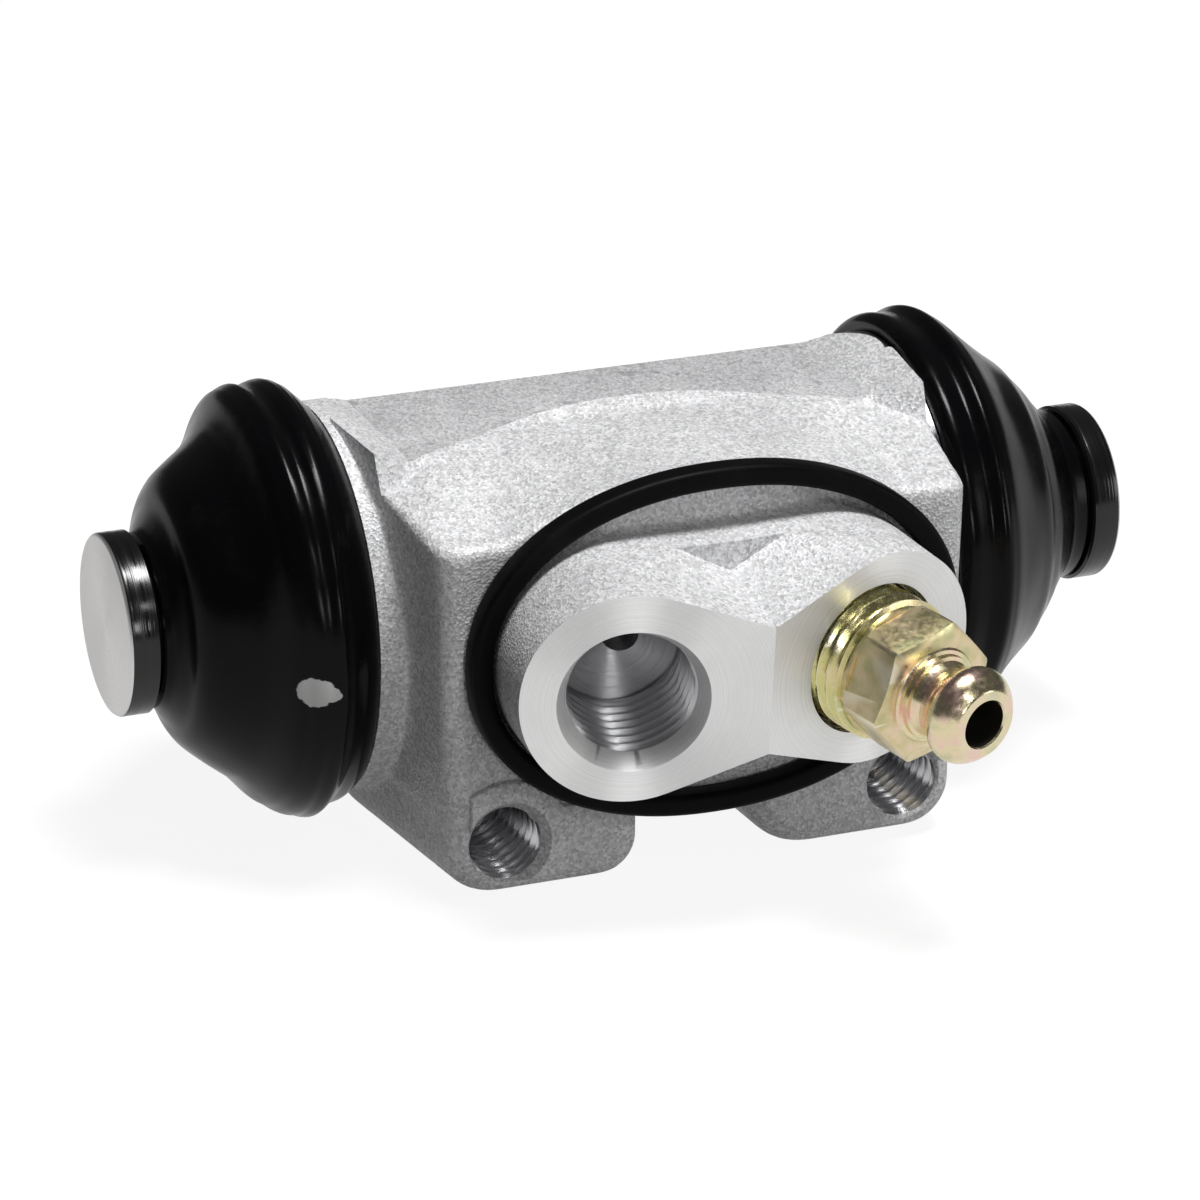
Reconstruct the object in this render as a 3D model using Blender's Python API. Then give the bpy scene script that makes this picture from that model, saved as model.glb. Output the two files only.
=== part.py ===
"""Wheel cylinder of a drum brake: a cast housing with two pistons, built in metres, +Z up.

The bore lies along X, its middle is the origin. The boss with the two ports points towards -Y,
through the plate that the cylinder is bolted to, and the two ears with the bolt holes hang below it.
"""

import math

import bmesh
import bpy
from mathutils import Matrix, Vector

MM = 0.001

# Running gap between pieces that touch on the real cylinder
GAP = 0.3 * MM

# Bore and barrel
BORE_R = 10.32 * MM
BARREL_WALL = 2.68 * MM
COLLAR_PROUD = 0.6 * MM
BARREL_R = BORE_R + BARREL_WALL
COLLAR_R = BARREL_R + COLLAR_PROUD
HOUSING_HALF_LENGTH = 24.6 * MM
END_FLANGE_WIDTH = 1.8 * MM
BOOT_GROOVE_WIDTH = 2.4 * MM
COLLAR_WIDTH = 1.9 * MM
COLLAR_TO_X = HOUSING_HALF_LENGTH - END_FLANGE_WIDTH - BOOT_GROOVE_WIDTH
COLLAR_FROM_X = COLLAR_TO_X - COLLAR_WIDTH
BOOT_GROOVE_WALL = 1.88 * MM
BOOT_GROOVE_DEPTH = 0.9 * MM
BOOT_GROOVE_R = BORE_R + BOOT_GROOVE_WALL
END_FLANGE_R = BOOT_GROOVE_R + BOOT_GROOVE_DEPTH
GROOVE_SLOPE = 0.5 * MM
BORE_CHAMFER = 0.4 * MM

# Block that joins the barrel to the mounting face
FRONT_Y = -18.75 * MM
FLAT_TOP_WALL = 1.48 * MM
FLAT_TOP_Z = BORE_R + FLAT_TOP_WALL
PEDESTAL_STEP = 0.15 * MM
SHOULDER_SET_IN = 1.0 * MM
FRONT_SET_IN = 1.2 * MM
BACK_CORNER_SET_IN = 1.3 * MM
FLAT_SET_IN = 2.4 * MM
FLAT_FRONT_SET_IN = 1.4 * MM
SHOULDER_HALF_WIDTH = COLLAR_TO_X - SHOULDER_SET_IN
FRONT_HALF_WIDTH = SHOULDER_HALF_WIDTH - FRONT_SET_IN
BACK_CORNER_HALF_WIDTH = SHOULDER_HALF_WIDTH - BACK_CORNER_SET_IN
FLAT_HALF_LENGTH = SHOULDER_HALF_WIDTH - FLAT_SET_IN
FLAT_FRONT_HALF_LENGTH = FLAT_HALF_LENGTH - FLAT_FRONT_SET_IN
FRONT_CORNER_DROP = 2.2 * MM
FRONT_CROWN_RISE = 0.8 * MM
SHOULDER_DROP = 1.4 * MM
FRONT_CORNER_Z = FLAT_TOP_Z - FRONT_CORNER_DROP
FRONT_CROWN_Z = FLAT_TOP_Z + FRONT_CROWN_RISE
FRONT_CROWN_R = 33.7 * MM
BLOCK_BOTTOM_Z = -9.9 * MM
SHOULDER_Y = -9.0 * MM
SHOULDER_Z = FLAT_TOP_Z - SHOULDER_DROP
FLAT_FRONT_Y = -3.1 * MM
FLAT_FRONT_BOW = 4.6 * MM
BACK_CORNER_Y = -5.0 * MM
CAST_EDGE = 0.8 * MM

# Ears with the mounting bolt holes
EAR_BOTTOM_Z = -15.4 * MM
LEFT_EAR_INNER_X = -4.8 * MM
RIGHT_EAR_INNER_X = 3.1 * MM
LEFT_EAR_INNER_CORNER_R = 2.4 * MM
RIGHT_EAR_INNER_CORNER_R = 4.2 * MM
EAR_OUTER_CORNER_R = 3.0 * MM
EAR_BACK_Y = -0.6 * MM
EAR_DRAFT = 0.1
PAD_PROUD = 0.35 * MM
PAD_TOP_R = 4.6 * MM
EAR_HOLE_SET_IN = 3.8 * MM
EAR_HOLE_X = FRONT_HALF_WIDTH - EAR_HOLE_SET_IN
EAR_HOLE_Z = -11.75 * MM
EAR_HOLE_R = 2.5 * MM
EAR_HOLE_DEPTH = 12.0 * MM
EAR_HOLE_CHAMFER = 0.6 * MM

# Boss with the two lobes
BOSS_Z = 1.25 * MM
LOBE_BASE_X = 7.3 * MM
LOBE_BASE_R = 8.25 * MM
LOBE_SPREAD = 0.175
LOBE_DRAFT = 0.09
WAIST_ROOT_HALF_HEIGHT = 6.0 * MM
WAIST_DRAFT = 0.16
WAIST_ROOT_DEPTH = 3.0 * MM
WAIST_FILLET_DEPTH = 0.8 * MM
BOSS_LENGTH = 10.64 * MM
RIDGE_Y = FRONT_Y - BOSS_LENGTH
RIDGE_Z = 1.15 * MM

# Ports: both tip a little downwards, one leans to each side
PORT_DIP = math.radians(5.7)
INLET_LEAN = math.radians(-12.5)
BLEEDER_LEAN = math.radians(17.0)
INLET_FROM_RIDGE = 8.82 * MM
INLET_BELOW_RIDGE = 0.19 * MM
BLEEDER_FROM_RIDGE = 8.21 * MM
BLEEDER_ABOVE_RIDGE = 0.19 * MM
INLET_THREAD_R = 4.45 * MM
INLET_MOUTH_R = 5.06 * MM
INLET_DEPTH = 8.6 * MM
INLET_HOLE_R = 1.3 * MM
BLEEDER_MOUTH_R = 5.3 * MM
BLEEDER_DEPTH = 9.4 * MM
BLEEDER_HOLE_R = 1.2 * MM
DRILL_POINT = math.radians(118.0)
INLET_BOTTOM_POINT = math.radians(170.0)

# Ring that seals the boss to the plate
RING_WIDTH = 1.5 * MM
RING_BOSS_CLEARANCE = 0.35 * MM
RING_HALF_LENGTH = LOBE_BASE_X + LOBE_BASE_R + RING_BOSS_CLEARANCE + RING_WIDTH
RING_OVER_LOBES = 4.0 * MM
RING_HALF_HEIGHT = LOBE_BASE_R + RING_OVER_LOBES
RING_THICKNESS = 1.8 * MM
RING_ROUNDNESS = 2.12
RING_EDGE = 0.35 * MM
RING_PAD_CLEARANCE = 0.5 * MM

# Pistons, cups, expanders and the spring between them
PISTON_SHIFT = 0.3 * MM
PISTON_SET_BACK = 0.2 * MM
PISTON_BODY_LENGTH = 9.8 * MM
PISTON_INNER_X = HOUSING_HALF_LENGTH - PISTON_SET_BACK - PISTON_BODY_LENGTH
PISTON_REACH = 11.86 * MM
PISTON_END_X = HOUSING_HALF_LENGTH + PISTON_REACH
PISTON_HEAD_LENGTH = 2.16 * MM
PISTON_EDGE = 0.5 * MM
STEM_R = 6.25 * MM
STEM_EDGE = 0.25 * MM
NECK_R = STEM_R - 1.15 * MM
NECK_LENGTH = 1.5 * MM
NECK_TO_X = PISTON_END_X - PISTON_HEAD_LENGTH
NECK_FROM_X = NECK_TO_X - NECK_LENGTH
CUP_LENGTH = 5.5 * MM
CUP_BASE = 2.0 * MM
CUP_LIP = 0.6 * MM
CUP_TAPER = 0.4 * MM
EXPANDER_THICKNESS = 0.8 * MM
EXPANDER_BASE_R = 6.0 * MM
EXPANDER_HUB_R = 4.2 * MM
EXPANDER_HUB_HEIGHT = 1.6 * MM
EXPANDER_FLARE = 1.7 * MM
EXPANDER_EDGE = 0.3 * MM
SPRING_WIRE_R = 0.45 * MM
SPRING_R = EXPANDER_HUB_R + SPRING_WIRE_R + 2 * GAP
SPRING_TURNS = 6
SPRING_END_TURNS = 0.9

# Dust boots
BOOT_WALL = 1.3 * MM
BOOT_BEAD_PROUD = 0.5 * MM
BOOT_CREASE_DEPTH = 0.2 * MM
BOOT_LIP_R = END_FLANGE_R + BOOT_WALL + 0.05 * MM
BOOT_BEAD_R = BOOT_LIP_R + BOOT_BEAD_PROUD
BOOT_CREASE_R = BOOT_LIP_R - BOOT_CREASE_DEPTH
BOOT_BEAD_HALF_WIDTH = 0.6 * MM
BOOT_LIP_EDGE = 0.4 * MM
BOOT_BULGE = 0.62 * MM
BOOT_NECK_UNDER = 0.1 * MM
BOOT_NECK_R = STEM_R - BOOT_NECK_UNDER

# Bleeder screw
SCREW_THREAD_CLEARANCE = 0.38 * MM
SCREW_THREAD_R = BLEEDER_MOUTH_R - SCREW_THREAD_CLEARANCE
SCREW_THREAD_OUT = 1.9 * MM
SCREW_CONE_STEP = 1.6 * MM
SCREW_CONE_R = SCREW_THREAD_R - SCREW_CONE_STEP
SCREW_CONE_NECK = 1.2 * MM
SCREW_TIP_R = 1.6 * MM
SCREW_UNDERCUT = 0.32 * MM
SCREW_SHANK_R = SCREW_THREAD_R - SCREW_UNDERCUT
HEX_ACROSS_FLATS = 8.6 * MM
HEX_FLAT_R = HEX_ACROSS_FLATS / 2
HEX_CORNER_R = HEX_FLAT_R / math.cos(math.radians(30.0))
HEX_CORNER_CUT = 0.085 * MM
HEX_ROUND_R = HEX_CORNER_R - HEX_CORNER_CUT
HEX_FROM = 2.2 * MM
HEX_LENGTH = 3.9 * MM
HEX_TURN = math.radians(15.0)
HEX_EDGE_ANGLE = math.radians(40.0)
NIPPLE_FOOT_R = 3.2 * MM
NIPPLE_NECK_R = 2.45 * MM
NIPPLE_BALL_R = 3.45 * MM
NIPPLE_END_R = 2.5 * MM
NIPPLE_LENGTH = 4.65 * MM
NIPPLE_BALL_SET_BACK = 1.3 * MM
NIPPLE_FOOT_LENGTH = 0.35 * MM
NIPPLE_FOOT_SLOPE = 0.75 * MM
NIPPLE_BARB_LENGTH = 0.95 * MM
NIPPLE_HOLE_R = 1.65 * MM
CROSS_HOLE_R = 0.9 * MM

BARREL_STEPS = 56
BOOT_STEPS = 32
HOLE_STEPS = 40
RING_STEPS = 48
BLOCK_STEPS = 12
BORE_HOLE_STEPS = 24
CROSS_HOLE_STEPS = 16
COIL_STEPS = 16
WIRE_STEPS = 6


def clear_scene():
    for obj in list(bpy.data.objects):
        bpy.data.objects.remove(obj, do_unlink=True)


def material(name, colour, roughness, metallic):
    """A Principled material for one sub-part."""
    made = bpy.data.materials.new(name)
    made.use_nodes = True
    shader = made.node_tree.nodes["Principled BSDF"]
    shader.inputs["Base Color"].default_value = (*colour, 1.0)
    shader.inputs["Roughness"].default_value = roughness
    shader.inputs["Metallic"].default_value = metallic
    return made


def new_object(name, bm, finish=None, sharp_angle=35.0):
    """Turns a bmesh into an object, shaded smooth up to sharp_angle."""
    bmesh.ops.recalc_face_normals(bm, faces=bm.faces)
    mesh = bpy.data.meshes.new(name)
    bm.to_mesh(mesh)
    bm.free()
    mesh.shade_smooth()
    mesh.set_sharp_from_angle(angle=math.radians(sharp_angle))
    obj = bpy.data.objects.new(name, mesh)
    bpy.context.scene.collection.objects.link(obj)
    if finish is not None:
        mesh.materials.append(finish)
    return obj


def as_tool(obj):
    """Marks an object as a helper of a Boolean, which is no piece of its own."""
    obj.hide_render = True
    obj.display_type = "WIRE"
    return obj


def boolean(target, tool, operation):
    modifier = target.modifiers.new(operation.lower() + "_" + tool.name, "BOOLEAN")
    modifier.operation = operation
    modifier.solver = "EXACT"
    modifier.object = as_tool(tool)


def bevel(obj, width, segments=2, angle=40.0):
    modifier = obj.modifiers.new("soft_edges", "BEVEL")
    modifier.width = width
    modifier.segments = segments
    modifier.limit_method = "ANGLE"
    modifier.angle_limit = math.radians(angle)


def turned(name, profile, steps, finish=None, closed=False):
    """Spins a profile of (along, radius) points about the local Z axis.

    A closed profile makes a ring; an open one starts and ends on the axis.
    """
    bm = bmesh.new()
    verts = [bm.verts.new((radius, 0.0, along)) for along, radius in profile]
    edges = [bm.edges.new(pair) for pair in zip(verts, verts[1:])]
    if closed:
        edges.append(bm.edges.new((verts[-1], verts[0])))
    bmesh.ops.spin(
        bm, geom=verts + edges, cent=(0, 0, 0), axis=(0, 0, 1), dvec=(0, 0, 0),
        angle=2 * math.pi, steps=steps, use_duplicate=False,
    )
    bmesh.ops.remove_doubles(bm, verts=bm.verts, dist=1e-6)
    bmesh.ops.dissolve_degenerate(bm, edges=bm.edges, dist=1e-7)
    return new_object(name, bm, finish)


def along_x(side, shift=0.0):
    """Places a piece turned about Z on the bore axis: side +1 is the right end, -1 the left."""
    turn = Matrix.Rotation(math.radians(90.0) * side, 4, "Y")
    return Matrix.Translation((shift, 0, 0)) @ turn


def port_frame(lean, from_ridge, above_ridge):
    """Frame of a port: Z points out along its axis, the origin is on its machined face."""
    out = Vector((
        math.sin(lean) * math.cos(PORT_DIP),
        -math.cos(lean) * math.cos(PORT_DIP),
        -math.sin(PORT_DIP),
    ))
    right = Vector((0, 0, 1)).cross(out).normalized()
    up = out.cross(right)
    x = math.copysign(from_ridge, lean)
    z = RIDGE_Z + above_ridge
    ridge = Vector((0, RIDGE_Y, RIDGE_Z))
    y = ridge.y - (out.x * (x - ridge.x) + out.z * (z - ridge.z)) / out.y
    frame = Matrix((right, up, out)).transposed().to_4x4()
    frame.translation = (x, y, z)
    return frame


INLET = port_frame(INLET_LEAN, INLET_FROM_RIDGE, -INLET_BELOW_RIDGE)
BLEEDER = port_frame(BLEEDER_LEAN, BLEEDER_FROM_RIDGE, BLEEDER_ABOVE_RIDGE)


def arc(centre_u, centre_v, radius, start, end, count):
    """Points of an arc in a plane, angles in degrees."""
    points = []
    for i in range(count + 1):
        angle = math.radians(start + (end - start) * i / count)
        points.append((centre_u + radius * math.cos(angle), centre_v + radius * math.sin(angle)))
    return points


def loft(name, rows, finish=None, sharp_angle=35.0):
    """Skins closed rows of points that have the same count, and caps both ends."""
    bm = bmesh.new()
    loops = [[bm.verts.new(point) for point in row] for row in rows]
    for first, second in zip(loops, loops[1:]):
        count = len(first)
        for i in range(count):
            j = (i + 1) % count
            bm.faces.new((first[i], first[j], second[j], second[i]))
    bm.faces.new(loops[0])
    bm.faces.new(loops[-1])
    return new_object(name, bm, finish, sharp_angle)


# Housing


def barrel_profile():
    """Outside of the barrel with its collars, boot grooves and end flanges, one end to the other."""
    groove_to = COLLAR_TO_X + BOOT_GROOVE_WIDTH
    slope = GROOVE_SLOPE
    half = [
        (COLLAR_FROM_X - 2 * COLLAR_PROUD, BARREL_R),
        (COLLAR_FROM_X, COLLAR_R),
        (COLLAR_TO_X - slope / 2, COLLAR_R),
        (COLLAR_TO_X, COLLAR_R - slope / 2),
        (COLLAR_TO_X + slope / 2, BOOT_GROOVE_R),
        (groove_to, BOOT_GROOVE_R),
        (groove_to + slope / 2, END_FLANGE_R),
        (HOUSING_HALF_LENGTH - slope, END_FLANGE_R),
        (HOUSING_HALF_LENGTH, END_FLANGE_R - slope),
        (HOUSING_HALF_LENGTH, 0.0),
    ]
    return [(-along, radius) for along, radius in reversed(half)] + half


def crown(x):
    """Height of the block's front edge at x: an arch over the ring, level towards the corners."""
    return max(FRONT_CORNER_Z, FRONT_CROWN_Z - x * x / (2 * FRONT_CROWN_R))


def flat_front(x):
    """Where the flat top ends towards the mounting face, a line that bows back in the middle."""
    return FLAT_FRONT_Y - FLAT_FRONT_BOW * (x / FLAT_FRONT_HALF_LENGTH) ** 2


def front_stations():
    """Places along the flat top's front line, left to right."""
    return [FLAT_FRONT_HALF_LENGTH * (2 * i / BLOCK_STEPS - 1) for i in range(BLOCK_STEPS + 1)]


def block():
    """The block between barrel and mounting face, which widens towards the barrel."""
    xs = front_stations()
    top = FLAT_TOP_Z + PEDESTAL_STEP
    overlap = 0.5 * MM
    inside_y = 4.0 * MM
    inside_top = FLAT_TOP_Z * 0.6
    wall_drop = 1.2 * MM

    def row(corner, points, wall_x):
        x, y, z = corner
        right = [(x, y, z), (wall_x, y, z - wall_drop), (wall_x, y, BLOCK_BOTTOM_Z)]
        left = [(-px, py, pz) for px, py, pz in reversed(right)]
        return left + points + right

    front = row(
        (FRONT_HALF_WIDTH, FRONT_Y, FRONT_CORNER_Z),
        [(x, FRONT_Y, crown(x)) for x in xs], FRONT_HALF_WIDTH,
    )
    shoulder = row(
        (SHOULDER_HALF_WIDTH, SHOULDER_Y, SHOULDER_Z),
        [(x, flat_front(x), top) for x in xs], SHOULDER_HALF_WIDTH,
    )
    corner = row(
        (BACK_CORNER_HALF_WIDTH, BACK_CORNER_Y, top),
        [(x, max(flat_front(x) + overlap, BACK_CORNER_Y), top) for x in xs], SHOULDER_HALF_WIDTH,
    )
    back = row(
        (BACK_CORNER_HALF_WIDTH, inside_y, inside_top),
        [(x, inside_y, inside_top) for x in xs], SHOULDER_HALF_WIDTH,
    )
    made = loft("block_form", [front, shoulder, corner, back])
    bevel(made, CAST_EDGE)
    return made


def flat_top_cutter():
    """Clears the barrel above the flat top, with ends that slope up into the collars."""
    xs = front_stations()
    height = 4.0 * MM
    behind = BARREL_R + 2 * MM
    step = PEDESTAL_STEP

    def outline(z, spread):
        grow = 1 + spread / FLAT_FRONT_HALF_LENGTH
        front = [(x * grow, flat_front(x) + step, z) for x in xs]
        back = [(FLAT_HALF_LENGTH + spread, behind / 2, z), (FLAT_HALF_LENGTH + spread, behind, z)]
        mirrored = [(-px, py, pz) for px, py, pz in reversed(back)]
        return front + back + mirrored

    return loft("flat_top_cutter", [outline(FLAT_TOP_Z, 0.0), outline(FLAT_TOP_Z + height, height)])


def ear_outline(side, inner_x, inner_r, grow, top_z):
    """Ear seen from the front, from its inner top corner round to its outer top corner."""
    outer = FRONT_HALF_WIDTH + grow
    inner = abs(inner_x) - grow * 0.3
    bottom = EAR_BOTTOM_Z - grow * 0.3
    points = [(inner, top_z)]
    points += arc(inner + inner_r, bottom + inner_r, inner_r, 180, 270, 5)
    points += arc(outer - EAR_OUTER_CORNER_R, bottom + EAR_OUTER_CORNER_R, EAR_OUTER_CORNER_R, 270, 360, 5)
    points.append((outer, top_z))
    return [(side * u, v) for u, v in points]


def ear(name, side, inner_x, inner_r):
    top_z = EAR_HOLE_Z + PAD_TOP_R
    grow = EAR_DRAFT * (EAR_BACK_Y - FRONT_Y)
    rows = []
    for y, more in ((FRONT_Y, 0.0), (EAR_BACK_Y, grow)):
        rows.append([(u, y, v) for u, v in ear_outline(side, inner_x, inner_r, more, top_z)])
    made = loft(name, rows)
    bevel(made, CAST_EDGE * 0.6, angle=60.0)
    return made


def ring_outline(offset, count):
    """Oval of the sealing ring, offset outwards."""
    half_length = RING_HALF_LENGTH + offset
    half_height = RING_HALF_HEIGHT + offset
    power = 2 / RING_ROUNDNESS
    points = []
    for i in range(count):
        angle = 2 * math.pi * i / count
        u = math.copysign(abs(math.cos(angle)) ** power, math.cos(angle))
        v = math.copysign(abs(math.sin(angle)) ** power, math.sin(angle))
        points.append((half_length * u, BOSS_Z + half_height * v))
    return points


def pad(name, side, inner_x, inner_r):
    """Raised face round a bolt hole, cut back where the sealing ring sits."""
    inset = CAST_EDGE * 0.5
    low = EAR_BOTTOM_Z + inset
    inner = abs(inner_x) + inset
    outer = FRONT_HALF_WIDTH - inset
    points = [(inner, EAR_HOLE_Z + PAD_TOP_R / 2)]
    points += arc(inner + inner_r, low + inner_r, inner_r, 180, 270, 5)
    points += arc(outer - EAR_OUTER_CORNER_R, low + EAR_OUTER_CORNER_R, EAR_OUTER_CORNER_R, 270, 360, 5)
    reach = min(PAD_TOP_R, outer - EAR_HOLE_X)
    start = math.degrees(math.acos(reach / PAD_TOP_R))
    points += arc(EAR_HOLE_X, EAR_HOLE_Z, PAD_TOP_R, start, 150, 8)
    rows = [
        [(side * u, y, v) for u, v in points]
        for y in (FRONT_Y - PAD_PROUD, FRONT_Y + CAST_EDGE)
    ]
    made = loft(name, rows)
    outline = ring_outline(RING_PAD_CLEARANCE, RING_STEPS)
    cutter_rows = [[(u, y, v) for u, v in outline] for y in (FRONT_Y - 2 * MM, FRONT_Y + 2 * MM)]
    boolean(made, loft(name + "_ring_clearance", cutter_rows), "DIFFERENCE")
    return made


def boss_outline(depth):
    """Outline of the two-lobed boss at a depth in front of the mounting face."""
    centre = LOBE_BASE_X + LOBE_SPREAD * depth
    radius = LOBE_BASE_R - LOBE_DRAFT * depth
    if depth <= WAIST_FILLET_DEPTH:
        half = radius * 0.995
    elif depth < WAIST_ROOT_DEPTH:
        part = (depth - WAIST_FILLET_DEPTH) / (WAIST_ROOT_DEPTH - WAIST_FILLET_DEPTH)
        half = radius * 0.995 + (WAIST_ROOT_HALF_HEIGHT - radius * 0.995) * part
    else:
        half = WAIST_ROOT_HALF_HEIGHT - WAIST_DRAFT * (depth - WAIST_ROOT_DEPTH)
    hollow = (centre ** 2 + half ** 2 - radius ** 2) / (2 * (radius - half))
    lean = math.degrees(math.atan2(half + hollow, centre))
    quarter = [
        (centre + u, v)
        for u, v in arc(0.0, 0.0, radius, 0.0, 180.0 - lean, 9)
    ]
    quarter += [
        (u, half + hollow - v)
        for u, v in arc(0.0, 0.0, hollow, lean, 90.0, 4)[1:]
    ]
    upper = quarter + [(-u, v) for u, v in reversed(quarter[:-1])]
    return upper + [(u, -v) for u, v in reversed(upper[1:-1])]


def boss():
    sunk = 2 * MM
    beyond = 2 * MM
    slope = WAIST_ROOT_DEPTH - WAIST_FILLET_DEPTH
    depths = [-sunk] + [WAIST_FILLET_DEPTH + slope * i / 4 for i in range(5)]
    depths += [BOSS_LENGTH / 2, BOSS_LENGTH + beyond]
    rows = [
        [(u, FRONT_Y - depth, BOSS_Z + v) for u, v in boss_outline(max(depth, 0.0))]
        for depth in depths
    ]
    made = loft("boss_form", rows)
    for frame, name in ((INLET, "inlet_face_cutter"), (BLEEDER, "bleeder_face_cutter")):
        boolean(made, face_cutter(name, frame), "DIFFERENCE")
    return made


def face_cutter(name, frame):
    """Block whose back face is the machined plane of a port."""
    wide = 2 * (LOBE_BASE_X + LOBE_BASE_R)
    deep = 2 * BOSS_LENGTH
    corners = [(-wide, -wide), (wide, -wide), (wide, wide), (-wide, wide)]
    rows = [[frame @ Vector((u, v, w)) for u, v in corners] for w in (0.0, deep)]
    return loft(name, rows)


def drilled(name, frame, mouth_r, chamfer, wall_r, depth, bottom, hole_r, hole_depth):
    """Cutter of a port: mouth chamfer, tapped wall, pointed bottom and the small hole to the bore."""
    above = 1.0 * MM
    point = (wall_r - hole_r) / math.tan(bottom / 2)
    profile = [
        (above, 0.0),
        (above, mouth_r + above),
        (0.0, mouth_r),
        (-chamfer, wall_r),
        (-depth, wall_r),
        (-depth - point, hole_r),
        (-hole_depth, hole_r),
        (-hole_depth, 0.0),
    ]
    if chamfer == 0.0:
        profile[1:4] = [(above, wall_r)]
    made = turned(name, profile, HOLE_STEPS)
    made.matrix_world = frame
    return made


def ear_hole_cutter(name, side):
    above = 1.0 * MM
    point = EAR_HOLE_R / math.tan(DRILL_POINT / 2)
    mouth = EAR_HOLE_R + EAR_HOLE_CHAMFER
    profile = [
        (above, 0.0),
        (above, mouth + above),
        (0.0, mouth),
        (-EAR_HOLE_CHAMFER, EAR_HOLE_R),
        (-EAR_HOLE_DEPTH, EAR_HOLE_R),
        (-EAR_HOLE_DEPTH - point, 0.0),
    ]
    made = turned(name, profile, HOLE_STEPS)
    place = Matrix.Translation((side * EAR_HOLE_X, FRONT_Y - PAD_PROUD, EAR_HOLE_Z))
    made.matrix_world = place @ Matrix.Rotation(math.radians(90.0), 4, "X")
    return made


def bore_cutter():
    beyond = 1.0 * MM
    end = HOUSING_HALF_LENGTH
    half = [
        (end - BORE_CHAMFER, BORE_R),
        (end, BORE_R + BORE_CHAMFER),
        (end + beyond, BORE_R + BORE_CHAMFER),
        (end + beyond, 0.0),
    ]
    made = turned("bore_cutter", [(-u, r) for u, r in reversed(half)] + half, BARREL_STEPS)
    made.matrix_world = along_x(1)
    return made


def depth_to_bore(frame):
    """How far a port's axis runs from its face to the middle of the bore."""
    out = frame.to_3x3() @ Vector((0, 0, 1))
    return abs(frame.translation.y / out.y) - BORE_R * 0.6


def housing():
    finish = material("cast_aluminium", (0.62, 0.63, 0.64), 0.5, 0.9)
    made = turned("housing", barrel_profile(), BARREL_STEPS, finish)
    made.matrix_world = along_x(1)
    boolean(made, block(), "UNION")
    ears = (
        ("left_ear", -1, LEFT_EAR_INNER_X, LEFT_EAR_INNER_CORNER_R),
        ("right_ear", 1, RIGHT_EAR_INNER_X, RIGHT_EAR_INNER_CORNER_R),
    )
    for name, side, inner_x, inner_r in ears:
        boolean(made, ear(name, side, inner_x, inner_r), "UNION")
        boolean(made, pad(name + "_pad", side, inner_x, inner_r), "UNION")
    boolean(made, boss(), "UNION")
    boolean(made, flat_top_cutter(), "DIFFERENCE")
    boolean(made, bore_cutter(), "DIFFERENCE")
    inlet = drilled(
        "inlet_cutter", INLET, INLET_MOUTH_R, INLET_MOUTH_R - INLET_THREAD_R,
        INLET_THREAD_R, INLET_DEPTH, INLET_BOTTOM_POINT, INLET_HOLE_R, depth_to_bore(INLET),
    )
    bleeder = drilled(
        "bleeder_cutter", BLEEDER, BLEEDER_MOUTH_R, 0.0,
        BLEEDER_MOUTH_R, BLEEDER_DEPTH, DRILL_POINT, BLEEDER_HOLE_R, depth_to_bore(BLEEDER),
    )
    boolean(made, inlet, "DIFFERENCE")
    boolean(made, bleeder, "DIFFERENCE")
    for name, side in (("left_bolt_hole", -1), ("right_bolt_hole", 1)):
        boolean(made, ear_hole_cutter(name, side), "DIFFERENCE")
    return made


# Inner pieces, each turned about Z with its outer end up and then laid on the bore axis


def piston(name, side, finish):
    body_r = BORE_R - GAP
    body_end = PISTON_INNER_X + PISTON_BODY_LENGTH
    profile = [
        (PISTON_INNER_X, 0.0),
        (PISTON_INNER_X, body_r - PISTON_EDGE),
        (PISTON_INNER_X + PISTON_EDGE, body_r),
        (body_end - PISTON_EDGE, body_r),
        (body_end, body_r - PISTON_EDGE),
        (body_end, STEM_R),
        (NECK_FROM_X - STEM_EDGE, STEM_R),
        (NECK_FROM_X, STEM_R - STEM_EDGE),
        (NECK_FROM_X, NECK_R),
        (NECK_TO_X, NECK_R),
        (NECK_TO_X, STEM_R - STEM_EDGE),
        (NECK_TO_X + STEM_EDGE, STEM_R),
        (PISTON_END_X - STEM_EDGE, STEM_R),
        (PISTON_END_X, STEM_R - STEM_EDGE),
        (PISTON_END_X, 0.0),
    ]
    made = turned(name, profile, BOOT_STEPS, finish)
    made.matrix_world = along_x(side, PISTON_SHIFT)
    return made


CUP_BACK_X = PISTON_INNER_X - GAP
CUP_FRONT_X = CUP_BACK_X - CUP_LENGTH
EXPANDER_BACK_X = CUP_BACK_X - CUP_BASE - GAP
SPRING_SEAT_X = EXPANDER_BACK_X - EXPANDER_THICKNESS


def cup(name, side, finish):
    """Rubber cup: its lip opens towards the fluid and rests on the bore."""
    rim = BORE_R - GAP
    face = CUP_BACK_X - CUP_BASE
    taper = CUP_TAPER
    hub_r = EXPANDER_BASE_R + 2.2 * GAP
    profile = [
        (CUP_BACK_X, 0.0),
        (CUP_BACK_X, rim - 3 * taper),
        (CUP_BACK_X - taper, rim - 2 * taper),
        (face, rim - taper),
        (CUP_FRONT_X + taper, rim),
        (CUP_FRONT_X, rim - taper / 2),
        (CUP_FRONT_X, rim - CUP_LIP),
        (CUP_FRONT_X + (face - CUP_FRONT_X) * 0.55, rim - 2.4 * CUP_LIP),
        (face - taper, hub_r + taper),
        (face, hub_r),
        (face, 0.0),
    ]
    made = turned(name, profile, BOOT_STEPS, finish)
    made.matrix_world = along_x(side, PISTON_SHIFT)
    return made


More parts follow.
